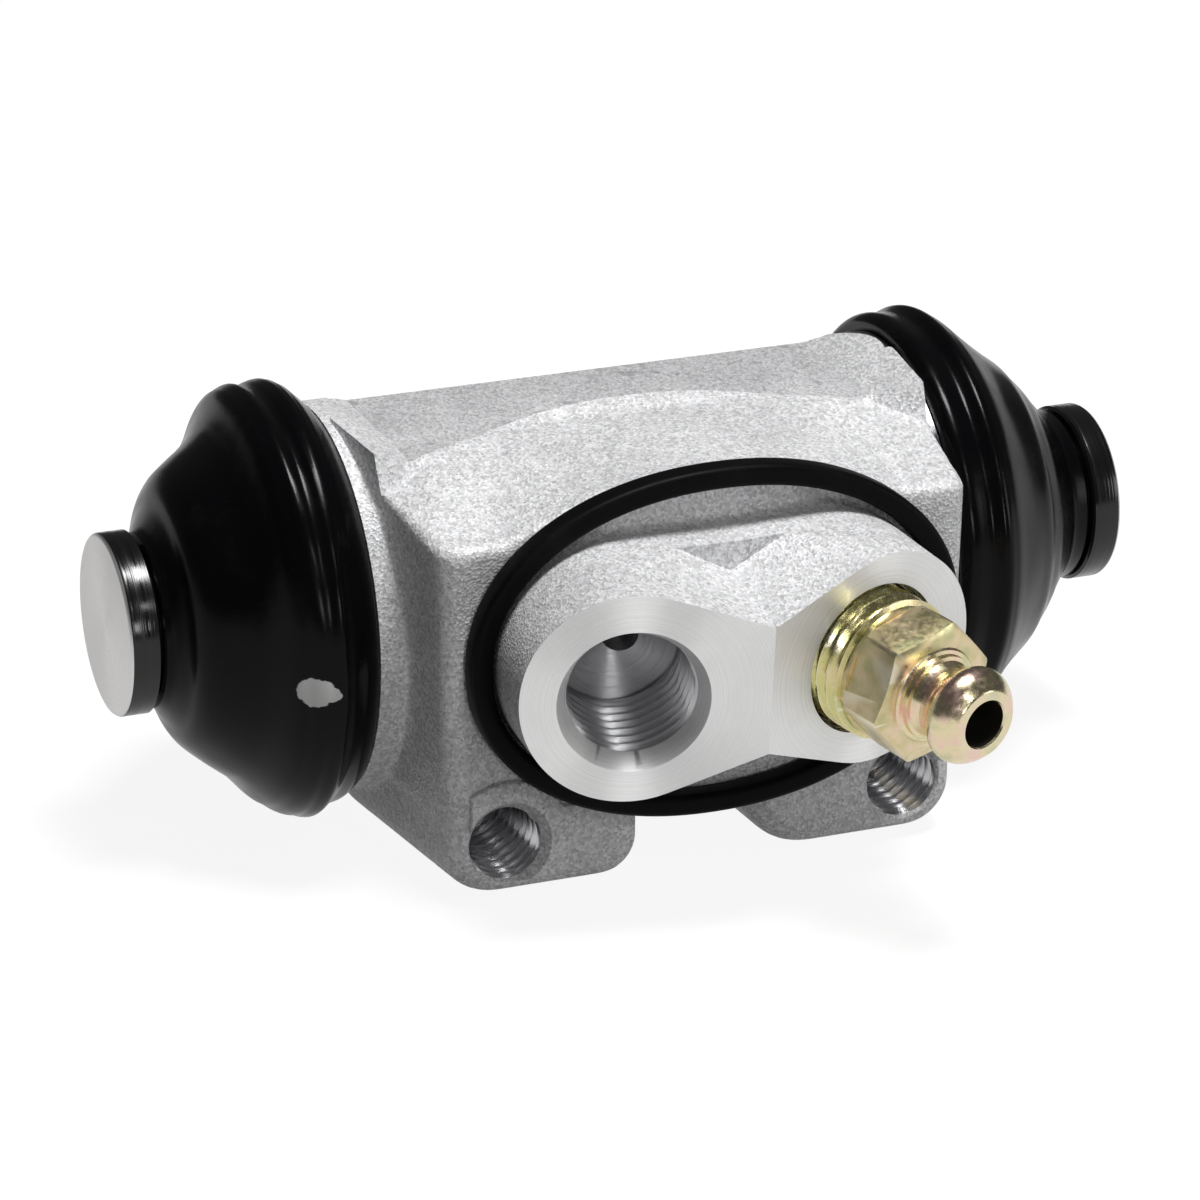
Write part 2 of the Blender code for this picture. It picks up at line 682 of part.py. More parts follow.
def expander(name, side, finish):
    """Pressed dish that spreads the cup's lip and carries the end of the spring."""
    flare_r = EXPANDER_BASE_R + EXPANDER_FLARE
    hub_x = SPRING_SEAT_X - EXPANDER_HUB_HEIGHT
    edge = EXPANDER_EDGE
    profile = [
        (EXPANDER_BACK_X, 0.0),
        (EXPANDER_BACK_X, EXPANDER_BASE_R),
        (EXPANDER_BACK_X - EXPANDER_FLARE, flare_r),
        (EXPANDER_BACK_X - EXPANDER_FLARE - edge, flare_r - EXPANDER_THICKNESS / 2),
        (SPRING_SEAT_X, EXPANDER_BASE_R - edge),
        (SPRING_SEAT_X, EXPANDER_HUB_R),
        (hub_x + edge, EXPANDER_HUB_R),
        (hub_x, EXPANDER_HUB_R - edge),
        (hub_x, 0.0),
    ]
    made = turned(name, profile, BOOT_STEPS, finish)
    made.matrix_world = along_x(side, PISTON_SHIFT)
    return made


def spring():
    """Coil spring between the two expanders, with a nearly flat turn at each end."""
    finish = material("spring_steel", (0.32, 0.33, 0.34), 0.35, 1.0)
    half = SPRING_SEAT_X - GAP - SPRING_WIRE_R
    count = SPRING_TURNS * COIL_STEPS
    closed_pitch = 2 * SPRING_WIRE_R + GAP
    open_turns = SPRING_TURNS - 2 * SPRING_END_TURNS
    open_pitch = (2 * half - 2 * SPRING_END_TURNS * closed_pitch) / open_turns

    def height(turn):
        closed = min(turn, SPRING_END_TURNS) + max(turn - SPRING_TURNS + SPRING_END_TURNS, 0.0)
        return closed * closed_pitch + (turn - closed) * open_pitch - half

    rows = []
    for i in range(count + 1):
        turn = i / COIL_STEPS
        angle = 2 * math.pi * turn
        out = Vector((math.cos(angle), math.sin(angle), 0.0))
        centre = out * SPRING_R + Vector((0, 0, height(turn)))
        ring = []
        for k in range(WIRE_STEPS):
            around = 2 * math.pi * k / WIRE_STEPS
            ring.append(centre + SPRING_WIRE_R * (out * math.cos(around) + Vector((0, 0, math.sin(around)))))
        rows.append(ring)
    made = loft("return_spring", rows, finish)
    made.matrix_world = along_x(1, PISTON_SHIFT)
    return made


def boot_profile(shift):
    """Closed section of a dust boot: clamped skirt, bead, dome and neck, then back along the inside.

    The skirt stays on the housing, and the neck follows the piston by the shift.
    """
    lip_x = COLLAR_TO_X + GAP
    half_bead = BOOT_BEAD_HALF_WIDTH
    bead_x = HOUSING_HALF_LENGTH - half_bead
    shoulder_x = HOUSING_HALF_LENGTH + half_bead
    neck_x = NECK_FROM_X + GAP + shift
    end_x = NECK_TO_X - GAP + shift
    shoulder_r = BOOT_CREASE_R - BOOT_CREASE_DEPTH / 2
    dome_run = neck_x - shoulder_x
    dome_drop = shoulder_r - BOOT_NECK_R

    def dome(part, inwards=0.0):
        """Point of the dome, slightly bulged, drawn in by a wall."""
        x = shoulder_x + dome_run * part
        straight = shoulder_r - dome_drop * part ** 1.35
        r = straight + BOOT_BULGE * math.sin(math.pi * part)
        return (x - inwards * 0.35, r - inwards * 0.9)

    crease_from = bead_x - half_bead
    outer = [
        (lip_x, BOOT_LIP_R - 2 * BOOT_LIP_EDGE),
        (lip_x, BOOT_LIP_R - BOOT_LIP_EDGE),
        (lip_x + BOOT_LIP_EDGE, BOOT_LIP_R),
        (lip_x + (crease_from - lip_x) / 2, BOOT_LIP_R),
        (crease_from - half_bead, BOOT_CREASE_R),
        (crease_from, BOOT_BEAD_R - BOOT_BEAD_PROUD / 2),
        (bead_x, BOOT_BEAD_R),
        (bead_x + half_bead, BOOT_BEAD_R - BOOT_BEAD_PROUD / 2),
        (shoulder_x - half_bead / 3, shoulder_r),
    ]
    steps = 6
    outer += [dome(i / steps) for i in range(1, steps)]
    outer += [(neck_x, BOOT_NECK_R + BOOT_NECK_UNDER), (end_x, BOOT_NECK_R - BOOT_NECK_UNDER)]
    inner = [(end_x, NECK_R + GAP), (neck_x, NECK_R + GAP)]
    inner += [(neck_x - GAP, STEM_R + GAP)]
    inner += [dome(i / steps, BOOT_WALL) for i in range(steps - 2, 0, -1)]
    skirt_x = HOUSING_HALF_LENGTH + GAP
    groove_to = COLLAR_TO_X + BOOT_GROOVE_WIDTH
    inner += [
        (skirt_x, END_FLANGE_R + GAP - GROOVE_SLOPE),
        (skirt_x - GROOVE_SLOPE, END_FLANGE_R + GAP),
        (groove_to, END_FLANGE_R + GAP),
        (groove_to - GAP, BOOT_GROOVE_R + GAP),
        (COLLAR_TO_X + GROOVE_SLOPE + GAP, BOOT_GROOVE_R + GAP),
    ]
    return outer + inner


def boot(name, side, finish):
    made = turned(name, boot_profile(side * PISTON_SHIFT), BOOT_STEPS, finish, closed=True)
    made.matrix_world = along_x(side)
    return made


def mounting_seal():
    """Flat rubber ring round the boss, stretched over its two lobes."""
    finish = material("seal_rubber", (0.02, 0.02, 0.02), 0.6, 0.0)
    back = FRONT_Y - GAP
    front = back - RING_THICKNESS
    edge = RING_EDGE
    section = [
        (0.0, back - edge), (-edge, back), (-RING_WIDTH + edge, back), (-RING_WIDTH, back - edge),
        (-RING_WIDTH, front + edge), (-RING_WIDTH + edge, front), (-edge, front), (0.0, front + edge),
    ]
    count = RING_STEPS
    bm = bmesh.new()
    loops = []
    for offset, y in section:
        loops.append([bm.verts.new((u, y, v)) for u, v in ring_outline(offset, count)])
    for first, second in zip(loops, loops[1:] + loops[:1]):
        for i in range(count):
            j = (i + 1) % count
            bm.faces.new((first[i], first[j], second[j], second[i]))
    return new_object("mounting_seal", bm, finish)


# Bleeder screw, turned about the axis of its port


def hexagon(name, low, high, round_r):
    """Hexagon with its corners turned down at both ends."""
    corners = []
    for i in range(6):
        angle = HEX_TURN + math.radians(60.0 * i)
        corners.append((HEX_CORNER_R * math.cos(angle), HEX_CORNER_R * math.sin(angle)))
    made = loft(name, [[(u, v, w) for u, v in corners] for w in (low, high)])
    made.matrix_world = BLEEDER
    beyond = 0.1 * MM
    rim = HEX_FLAT_R - beyond
    drop = (round_r - rim) * math.tan(HEX_EDGE_ANGLE)
    profile = [
        (low - beyond, 0.0),
        (low - beyond, rim),
        (low + drop, round_r),
        (high - drop, round_r),
        (high + beyond, rim - beyond),
        (high + beyond, 0.0),
    ]
    turned_down = turned(name + "_turned_down", profile, HOLE_STEPS)
    turned_down.matrix_world = BLEEDER
    boolean(made, turned_down, "INTERSECT")
    return made


def bleeder_screw():
    finish = material("yellow_zinc", (0.55, 0.46, 0.2), 0.3, 1.0)
    hex_end = HEX_FROM + HEX_LENGTH
    end = hex_end + NIPPLE_LENGTH
    ball = end - NIPPLE_BALL_SET_BACK
    slope = math.tan(DRILL_POINT / 2)
    seat_gap = GAP / math.sin(DRILL_POINT / 2)
    cone_foot = -BLEEDER_DEPTH - (BLEEDER_MOUTH_R - SCREW_CONE_R) / slope + seat_gap
    tip = -BLEEDER_DEPTH - (BLEEDER_MOUTH_R - SCREW_TIP_R) / slope + seat_gap
    neck = cone_foot + SCREW_CONE_NECK
    inside_hex = HEX_FROM + HEX_LENGTH / 8
    foot = hex_end + NIPPLE_FOOT_LENGTH
    foot_drop = NIPPLE_FOOT_R - NIPPLE_NECK_R
    ball_rise = NIPPLE_BALL_R - NIPPLE_NECK_R
    flat = NIPPLE_BARB_LENGTH / 3
    profile = [
        (tip, 0.0),
        (tip, SCREW_TIP_R),
        (cone_foot, SCREW_CONE_R),
        (neck, SCREW_CONE_R),
        (neck + SCREW_CONE_STEP, SCREW_THREAD_R),
        (SCREW_THREAD_OUT - SCREW_UNDERCUT, SCREW_THREAD_R),
        (SCREW_THREAD_OUT, SCREW_SHANK_R),
        (inside_hex, SCREW_SHANK_R),
        (inside_hex + SCREW_UNDERCUT, NIPPLE_FOOT_R),
        (foot, NIPPLE_FOOT_R),
        (foot + NIPPLE_FOOT_SLOPE / 2, NIPPLE_FOOT_R - foot_drop / 2),
        (foot + NIPPLE_FOOT_SLOPE, NIPPLE_NECK_R),
        (ball - flat - NIPPLE_BARB_LENGTH, NIPPLE_NECK_R),
        (ball - 2 * flat, NIPPLE_NECK_R + ball_rise * 0.55),
        (ball - flat, NIPPLE_BALL_R),
        (ball + flat, NIPPLE_BALL_R),
        (ball + 2.5 * flat, NIPPLE_BALL_R - ball_rise * 0.4),
        (end, NIPPLE_END_R),
        (end, 0.0),
    ]
    made = turned("bleeder_screw", profile, HOLE_STEPS, finish)
    made.matrix_world = BLEEDER
    boolean(made, hexagon("bleeder_hexagon", HEX_FROM, hex_end, HEX_ROUND_R), "UNION")
    hole_foot = neck - CROSS_HOLE_R / 2
    beyond = 1 * MM
    hole = [
        (end + beyond, 0.0),
        (end + beyond, NIPPLE_HOLE_R),
        (hole_foot, NIPPLE_HOLE_R),
        (hole_foot - NIPPLE_HOLE_R / math.tan(DRILL_POINT / 2), 0.0),
    ]
    passage = turned("bleeder_passage", hole, BORE_HOLE_STEPS)
    passage.matrix_world = BLEEDER
    boolean(made, passage, "DIFFERENCE")
    half = SCREW_THREAD_R + beyond
    across = [(-half, 0.0), (-half, CROSS_HOLE_R), (half, CROSS_HOLE_R), (half, 0.0)]
    cross = turned("bleeder_cross_hole", across, CROSS_HOLE_STEPS)
    height = Matrix.Translation((0, 0, neck - CROSS_HOLE_R / 2))
    cross.matrix_world = BLEEDER @ height @ Matrix.Rotation(math.radians(90.0), 4, "Y")
    boolean(made, cross, "DIFFERENCE")
    return made


def build():
    clear_scene()
    housing()
    steel = material("piston_black", (0.03, 0.03, 0.03), 0.3, 0.6)
    cup_rubber = material("cup_rubber", (0.03, 0.03, 0.03), 0.5, 0.0)
    expander_steel = material("expander_steel", (0.5, 0.5, 0.48), 0.35, 1.0)
    boot_rubber = material("boot_rubber", (0.02, 0.02, 0.02), 0.35, 0.0)
    for word, side in (("left", -1), ("right", 1)):
        piston(word + "_piston", side, steel)
        cup(word + "_cup", side, cup_rubber)
        expander(word + "_expander", side, expander_steel)
        boot(word + "_boot", side, boot_rubber)
    spring()
    mounting_seal()
    bleeder_screw()


build()
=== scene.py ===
# %% [markdown]
# # A drum brake's wheel cylinder
# A wheel cylinder sits between the two shoes of a drum brake. Brake fluid pushes its two pistons
# apart, and they press the shoes against the drum. The body is an aluminium casting with a few
# machined faces and holes, and rubber boots keep dust out of both ends.
# The CAD model gives the sizes, the moving bodies and the joints. This lesson dresses it: each piece
# gets the form that the real process leaves, and then a finish made from nodes.

import math

import bmesh
import bpy
from mathutils import Matrix, Vector, noise


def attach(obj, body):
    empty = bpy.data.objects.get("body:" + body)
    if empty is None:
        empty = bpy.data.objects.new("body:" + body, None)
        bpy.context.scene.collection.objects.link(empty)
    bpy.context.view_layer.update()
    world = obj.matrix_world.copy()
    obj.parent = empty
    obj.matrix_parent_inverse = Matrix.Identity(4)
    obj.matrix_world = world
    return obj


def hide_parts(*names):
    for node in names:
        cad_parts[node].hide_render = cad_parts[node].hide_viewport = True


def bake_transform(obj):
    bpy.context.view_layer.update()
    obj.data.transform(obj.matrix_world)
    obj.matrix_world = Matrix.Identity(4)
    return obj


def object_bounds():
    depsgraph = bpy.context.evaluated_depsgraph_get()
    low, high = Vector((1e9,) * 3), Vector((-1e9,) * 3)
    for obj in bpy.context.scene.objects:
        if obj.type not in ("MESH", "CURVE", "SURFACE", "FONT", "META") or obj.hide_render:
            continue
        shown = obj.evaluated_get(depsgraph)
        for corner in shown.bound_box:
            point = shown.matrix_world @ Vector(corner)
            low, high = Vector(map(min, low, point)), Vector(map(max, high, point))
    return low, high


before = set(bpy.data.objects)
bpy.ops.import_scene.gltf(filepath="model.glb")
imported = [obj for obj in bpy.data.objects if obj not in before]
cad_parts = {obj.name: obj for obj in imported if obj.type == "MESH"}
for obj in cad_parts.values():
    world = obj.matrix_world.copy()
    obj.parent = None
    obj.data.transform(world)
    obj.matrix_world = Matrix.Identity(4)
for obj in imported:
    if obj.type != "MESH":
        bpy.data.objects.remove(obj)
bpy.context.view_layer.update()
print("nodes:", sorted(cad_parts))

# %% [markdown]
# ## Working in millimetres
# Parts like this are drawn in millimetres, so the sizes of all pieces below are too. The meshes are
# built at that size, because remeshing and Booleans are steadier on numbers near 1 than near 0.001.
# The last step of each piece shrinks its mesh to metres, and hands it to the body that it moves with.
# Only the floor, the lamps and the patterns of the finishes are given in metres.

# %% Helpers that build meshes
MM = 0.001
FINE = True


def to_mesh(name, verts, faces, finish):
    """A closed mesh object with its faces pointing out."""
    bm = bmesh.new()
    made = [bm.verts.new(v) for v in verts]
    for face in faces:
        bm.faces.new([made[i] for i in face])
    bmesh.ops.recalc_face_normals(bm, faces=bm.faces)
    mesh = bpy.data.meshes.new(name)
    bm.to_mesh(mesh)
    bm.free()
    mesh.materials.append(finish)
    obj = bpy.data.objects.new(name, mesh)
    bpy.context.scene.collection.objects.link(obj)
    return obj


def skin(name, rows, finish, ring=False):
    """Joins rows of points that have the same count. A row of one point closes an end."""
    verts, loops, faces = [], [], []
    for row in rows:
        loops.append(list(range(len(verts), len(verts) + len(row))))
        verts += row
    count = max(len(loop) for loop in loops)
    pairs = list(zip(loops, loops[1:]))
    if ring:
        pairs.append((loops[-1], loops[0]))
    else:
        faces += [loop for loop in (loops[0], loops[-1]) if len(loop) > 1]
    for low, high in pairs:
        for i in range(count):
            j = (i + 1) % count
            corners = [low[i % len(low)], low[j % len(low)], high[j % len(high)], high[i % len(high)]]
            faces.append(list(dict.fromkeys(corners)))
    return to_mesh(name, verts, faces, finish)


def lathe(name, profile, steps, finish, ring=False, shape=None):
    """Turns (along, radius) points about Z. shape(along, radius, angle) may change the radius."""
    rows = []
    for along, radius in profile:
        if radius == 0:
            rows.append([(0.0, 0.0, along)])
            continue
        row = []
        for i in range(steps):
            angle = 2 * math.pi * i / steps
            r = shape(along, radius, angle) if shape else radius
            row.append((r * math.cos(angle), r * math.sin(angle), along))
        rows.append(row)
    return skin(name, rows, finish, ring)


def arc(centre, radius, start, end, count):
    """Points of an arc in a plane, from one angle to another in degrees."""
    points = []
    for i in range(count + 1):
        angle = math.radians(start + (end - start) * i / count)
        points.append((centre[0] + radius * math.cos(angle), centre[1] + radius * math.sin(angle)))
    return points


def smooth_line(points, parts):
    """A curve through the points, each stretch cut into parts."""
    line = []
    for k in range(len(points) - 1):
        before, start = Vector(points[max(k - 1, 0)]), Vector(points[k])
        end, after = Vector(points[k + 1]), Vector(points[min(k + 2, len(points) - 1)])
        for i in range(parts):
            t = i / parts
            a = 2 * start + (end - before) * t
            b = (2 * before - 5 * start + 4 * end - after) * t ** 2
            c = (3 * start - before - 3 * end + after) * t ** 3
            line.append(tuple((a + b + c) / 2))
    return line + [tuple(points[-1])]


# %% Helpers that shape and finish meshes
def apply(obj):
    """Swaps the object's mesh for the one that its modifiers give."""
    seen = obj.evaluated_get(bpy.context.evaluated_depsgraph_get())
    mesh = bpy.data.meshes.new_from_object(seen)
    obj.modifiers.clear()
    obj.data = mesh
    return obj


def boolean(obj, tool, operation):
    """Joins, cuts or intersects, and then throws the tool away. New faces keep the tool's finish."""
    modifier = obj.modifiers.new(operation, "BOOLEAN")
    modifier.operation = operation
    modifier.solver = "EXACT"
    modifier.material_mode = "TRANSFER"
    modifier.object = tool
    bpy.context.view_layer.update()
    apply(obj)
    bpy.data.objects.remove(tool, do_unlink=True)
    return obj


def bake_place(obj, matrix):
    """Moves the mesh itself, so that the object stays at the origin."""
    obj.data.transform(matrix)
    return obj


def finish_piece(obj, body, sharp=35.0):
    """Shrinks a piece to metres, shades it, and hands it to its body. A piece that bends has none yet."""
    obj.data.transform(Matrix.Scale(MM, 4))
    obj.data.shade_smooth()
    obj.data.set_sharp_from_angle(angle=math.radians(sharp))
    if body:
        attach(obj, body)
    print(obj.name, len(obj.data.polygons), "faces")
    return obj


# %% [markdown]
# ## Where the ports point
# The inlet and the bleeder stand square to two machined faces. Both faces dip a little, and they
# lean away from each other, so a port frame is worth having: Z runs out along the port's axis, and
# its origin lies on the machined face. Cutters, threads, the screw and the turning marks all use it.

# %% Port frames
RIDGE = Vector((0.0, -29.39, 1.15))
PORT_DIP = math.radians(5.7)
INLET_LEAN = math.radians(-12.5)
INLET_AT = (-8.82, 0.96)
BLEEDER_LEAN = math.radians(17.0)
BLEEDER_AT = (8.21, 1.34)


def port_frame(lean, x, z):
    """The frame of a port that leans sideways by an angle, on a face through the ridge, at x and z."""
    out = Vector((
        math.sin(lean) * math.cos(PORT_DIP),
        -math.cos(lean) * math.cos(PORT_DIP),
        -math.sin(PORT_DIP),
    ))
    right = Vector((0, 0, 1)).cross(out).normalized()
    up = out.cross(right)
    y = RIDGE.y - (out.x * (x - RIDGE.x) + out.z * (z - RIDGE.z)) / out.y
    placed = Matrix((right, up, out)).transposed().to_4x4()
    placed.translation = (x, y, z)
    return placed


INLET = port_frame(INLET_LEAN, *INLET_AT)
BLEEDER = port_frame(BLEEDER_LEAN, *BLEEDER_AT)
print("inlet face at", [round(v, 2) for v in INLET.translation])
print("bleeder face at", [round(v, 2) for v in BLEEDER.translation])

# %% [markdown]
# ## Camera
# The photograph is taken from the left, a little above, with a long lens. The camera stands where
# its perspective puts it: 21.4 degrees round to the left, 21.6 degrees up and 362 mm away. It aims
# by the middle of both pistons, which stand 0.3 mm to the right of the casting's middle.

# %% Camera
VIEW_ROUND = math.radians(21.381)
VIEW_UP = math.radians(21.635)
VIEW_ROLL = math.radians(-0.091)
VIEW_DISTANCE = 361.62
VIEW_OFF_CENTRE = (0.71, 3.149)
PHOTO_PIXELS = 1200
FOCAL_PIXELS = 5201.9
PISTONS_ASIDE = 0.3
SENSOR = 36.0

back = Vector((
    -math.sin(VIEW_ROUND) * math.cos(VIEW_UP),
    -math.cos(VIEW_ROUND) * math.cos(VIEW_UP),
    math.sin(VIEW_UP),
))
right = Vector((math.cos(VIEW_ROUND), -math.sin(VIEW_ROUND), 0.0))
up = back.cross(right)
turned = Matrix((right, up, back)).transposed() @ Matrix.Rotation(-VIEW_ROLL, 3, "Z")
aside = turned @ Vector((VIEW_OFF_CENTRE[0], VIEW_OFF_CENTRE[1], -VIEW_DISTANCE))
camera_data = bpy.data.cameras.new("camera")
camera_data.sensor_width = SENSOR
camera_data.lens = FOCAL_PIXELS / PHOTO_PIXELS * SENSOR
camera_data.clip_start = 0.01
camera = bpy.data.objects.new("camera", camera_data)
camera.matrix_world = turned.to_4x4()
camera.location = (Vector((PISTONS_ASIDE, 0, 0)) - aside) * MM
bpy.context.scene.collection.objects.link(camera)
bpy.context.scene.camera = camera
print("camera at", [round(v * 1000, 1) for v in camera.location], "lens", round(camera_data.lens, 1))

# %% [markdown]
# ## Floor and light
# The background is white paper under soft light. The floor is really there, so it keeps a faint
# shadow, and it shows itself white to the camera and, more weakly, to shiny metal. Turned surfaces
# tell where the lamps stood: the highlights on each piston stem give their heights, and the
# bright streak in the inlet leans a little to the left. A large soft box hangs almost overhead, two
# small ones stand in front, one high and one low, and a weak one stands at the right. So the top is
# bright, the front is grey and the left wall is dark, as in the photograph. The world round the part
# is a dim room, and only the camera sees it as white as the paper.

# %% Floor, lamps and world
scene = bpy.context.scene
scene.view_settings.view_transform = "Standard"


def new_material(name):
    made = bpy.data.materials.new(name)
    made.use_nodes = True
    made.node_tree.nodes.clear()
    return made


def add_node(tree, kind, settings=None, **inputs):
    """Adds a node. Inputs may be numbers, colours or the sockets of other nodes."""
    node = tree.nodes.new("ShaderNode" + kind)
    for key, value in (settings or {}).items():
        setattr(node, key, value)
    for key, value in inputs.items():
        socket = node.inputs[int(key[1:])] if key[1:].isdigit() else node.inputs[key.replace("_", " ")]
        if isinstance(value, bpy.types.NodeSocket):
            tree.links.new(value, socket)
        else:
            socket.default_value = value
    return node


FLOOR_GAP = 0.0002
FLOOR_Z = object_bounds()[0].z - FLOOR_GAP
FLOOR_WHITE = 0.14
PAPER_GLOW = 0.9
GLOSSY_SHARE = 0.78


def paper():
    """Dull white paper that also glows for the camera, through glass and, more weakly, in metal."""
    made = new_material("white_paper")
    tree = made.node_tree
    plain = add_node(tree, "BsdfDiffuse", Color=(FLOOR_WHITE, FLOOR_WHITE, FLOOR_WHITE, 1))
    path = add_node(tree, "LightPath")
    mirrored = add_node(tree, "Math", {"operation": "MULTIPLY"},
                        _0=path.outputs["Is Glossy Ray"], _1=GLOSSY_SHARE)
    seen = add_node(tree, "Math", {"operation": "MAXIMUM"},
                    _0=path.outputs["Is Camera Ray"], _1=mirrored.outputs[0])
    seen = add_node(tree, "Math", {"operation": "MAXIMUM"},
                    _0=seen.outputs[0], _1=path.outputs["Is Transmission Ray"])
    power = add_node(tree, "Math", {"operation": "MULTIPLY"}, _0=seen.outputs[0], _1=PAPER_GLOW)
    glow = add_node(tree, "Emission", Color=(1, 1, 1, 1), Strength=power.outputs[0])
    both = add_node(tree, "AddShader", _0=plain.outputs[0], _1=glow.outputs[0])
    out = add_node(tree, "OutputMaterial")
    tree.links.new(both.outputs[0], out.inputs["Surface"])
    return made


FLOOR_SIZE = 4.0
half = FLOOR_SIZE / 2
floor = to_mesh("floor", [(-half, -half, 0), (half, -half, 0), (half, half, 0), (-half, half, 0)],
                [(0, 1, 2, 3)], paper())
floor.location.z = FLOOR_Z


def soft_box(name, size, power, at):
    """A square lamp that faces the part. Its size and place are in metres, its power in watts."""
    data = bpy.data.lights.new(name, "AREA")
    data.shape = "RECTANGLE"
    data.size = size
    data.size_y = size
    data.energy = power
    lamp = bpy.data.objects.new(name, data)
    lamp.location = at
    lamp.rotation_euler = (-Vector(at)).to_track_quat("-Z", "Y").to_euler()
    scene.collection.objects.link(lamp)
    return lamp


soft_box("top_box", 0.24, 6.8, (0.10, -0.12, 0.80))
soft_box("brow_box", 0.09, 0.32, (0.08, -0.60, 0.48))
soft_box("front_box", 0.12, 0.52, (-0.06, -0.72, 0.18))
soft_box("right_box", 0.25, 0.7, (0.62, -0.42, 0.15))

WORLD_LEVEL = 0.04
WORLD_MIRRORED = 0.08


def room():
    """A dim room that the camera sees as white paper, and shiny metal as a dark grey."""
    made = bpy.data.worlds.new("room")
    made.use_nodes = True
    tree = made.node_tree
    path = add_node(tree, "LightPath")
    mirrored = add_node(tree, "Math", {"operation": "MULTIPLY"},
                        _0=path.outputs["Is Glossy Ray"], _1=WORLD_MIRRORED)
    level = add_node(tree, "Math", {"operation": "MAXIMUM"}, _0=mirrored.outputs[0], _1=WORLD_LEVEL)
    for ray in ("Is Camera Ray", "Is Transmission Ray"):
        level = add_node(tree, "Math", {"operation": "MAXIMUM"},
                         _0=level.outputs[0], _1=path.outputs[ray])
    background = tree.nodes["Background"]
    background.inputs["Color"].default_value = (1, 1, 1, 1)
    tree.links.new(level.outputs[0], background.inputs["Strength"])
    return made


scene.world = room()
print("floor at", round(FLOOR_Z * 1000, 2), "mm")

# %% [markdown]
# ## Finishes: common ground
# Every finish starts from the piece's own coordinates in metres, so noise scales read as features
# per metre: a scale of 1000 gives a pattern about a millimetre wide. Small parts need such high
# scales, and a bump distance of a few hundredths of a millimetre.

# %% Building blocks for finishes
def start_finish(name, colour, roughness, metallic):
    """A Principled shader with its output, and the coordinates that its patterns use."""
    made = new_material(name)
    tree = made.node_tree
    shader = add_node(tree, "BsdfPrincipled", Base_Color=(*colour, 1), Roughness=roughness,
                      Metallic=metallic)
    out = add_node(tree, "OutputMaterial")
    tree.links.new(shader.outputs[0], out.inputs["Surface"])
    where = add_node(tree, "TexCoord").outputs["Object"]
    return made, tree, shader, where


def grain(tree, where, scale, detail=2.0, rough=0.5):
    return add_node(tree, "TexNoise", Vector=where, Scale=scale, Detail=detail, Roughness=rough)


def between(tree, value, low, high, to_low, to_high):
    """Maps one range of numbers on another, and clamps it."""
    node = add_node(tree, "MapRange", Value=value, From_Min=low, From_Max=high,
                    To_Min=to_low, To_Max=to_high)
    return node.outputs[0]


def mix(tree, share, first, second):
    """Mixes two colours; each may be a socket or an RGB triple."""
    node = add_node(tree, "Mix", {"data_type": "RGBA"})
    for socket, value in ((node.inputs[0], share), (node.inputs[6], first), (node.inputs[7], second)):
        if isinstance(value, bpy.types.NodeSocket):
            tree.links.new(value, socket)
        else:
            socket.default_value = value if isinstance(value, float) else (*value, 1)
    return node.outputs[2]


def maths(tree, operation, first, second=0.0):
    return add_node(tree, "Math", {"operation": operation}, _0=first, _1=second).outputs[0]


def bump(tree, shader, height, strength, distance, below=None):
    """Adds a bump of a given distance in metres. Chains on the normal of the bump below it."""
    node = add_node(tree, "Bump", Strength=strength, Distance=distance, Height=height)
    if below is not None:
        tree.links.new(below, node.inputs["Normal"])
    tree.links.new(node.outputs[0], shader.inputs["Normal"])
    return node.outputs[0]


def in_frame(tree, where, placed):
    """The same coordinates as seen from a frame given in millimetres."""
    metres = placed.copy()
    metres.translation = placed.translation * MM
    inverse = metres.inverted()
    node = add_node(tree, "Mapping", Vector=where)
    node.inputs["Location"].default_value = inverse.translation
    node.inputs["Rotation"].default_value = inverse.to_euler()
    return node.outputs[0]


def from_axis(tree, where):
    """Distance from the Z axis of the given coordinates."""
    flat = add_node(tree, "VectorMath", {"operation": "MULTIPLY"}, _0=where, _1=(1, 1, 0))
    return add_node(tree, "VectorMath", {"operation": "LENGTH"}, _0=flat.outputs[0]).outputs["Value"]


def rings(tree, distance, scale, detail=3.0):
    """Turning marks: noise that only changes with the distance from the axis."""
    return add_node(tree, "TexNoise", {"noise_dimensions": "1D"}, W=distance, Scale=scale,
                    Detail=detail, Roughness=0.7).outputs["Fac"]


# %% [markdown]
# ## Finish: the cast skin
# A sand or shot-blasted casting has no bare shine. Its skin is a dense field of tiny facets that
# each catch the light on their own, so it sparkles from close by and looks pale grey from afar.
# Two sizes of grain in the bump make the facets, and each facet's grey is also painted lighter or
# darker at random, which is partly grain and partly a painted glint. A slow noise makes the grey
# uneven, and a stretched noise with a high threshold leaves the few dark nicks that handling makes.

# %% Cast aluminium
SLOW_SCALE = 140.0
COARSE_SCALE = 2600.0
FACET_SCALE = 5200.0
NICK_SCALE = 520.0
NICK_GREY = (0.24, 0.24, 0.25)
GRAIN_DEPTH = 0.00006


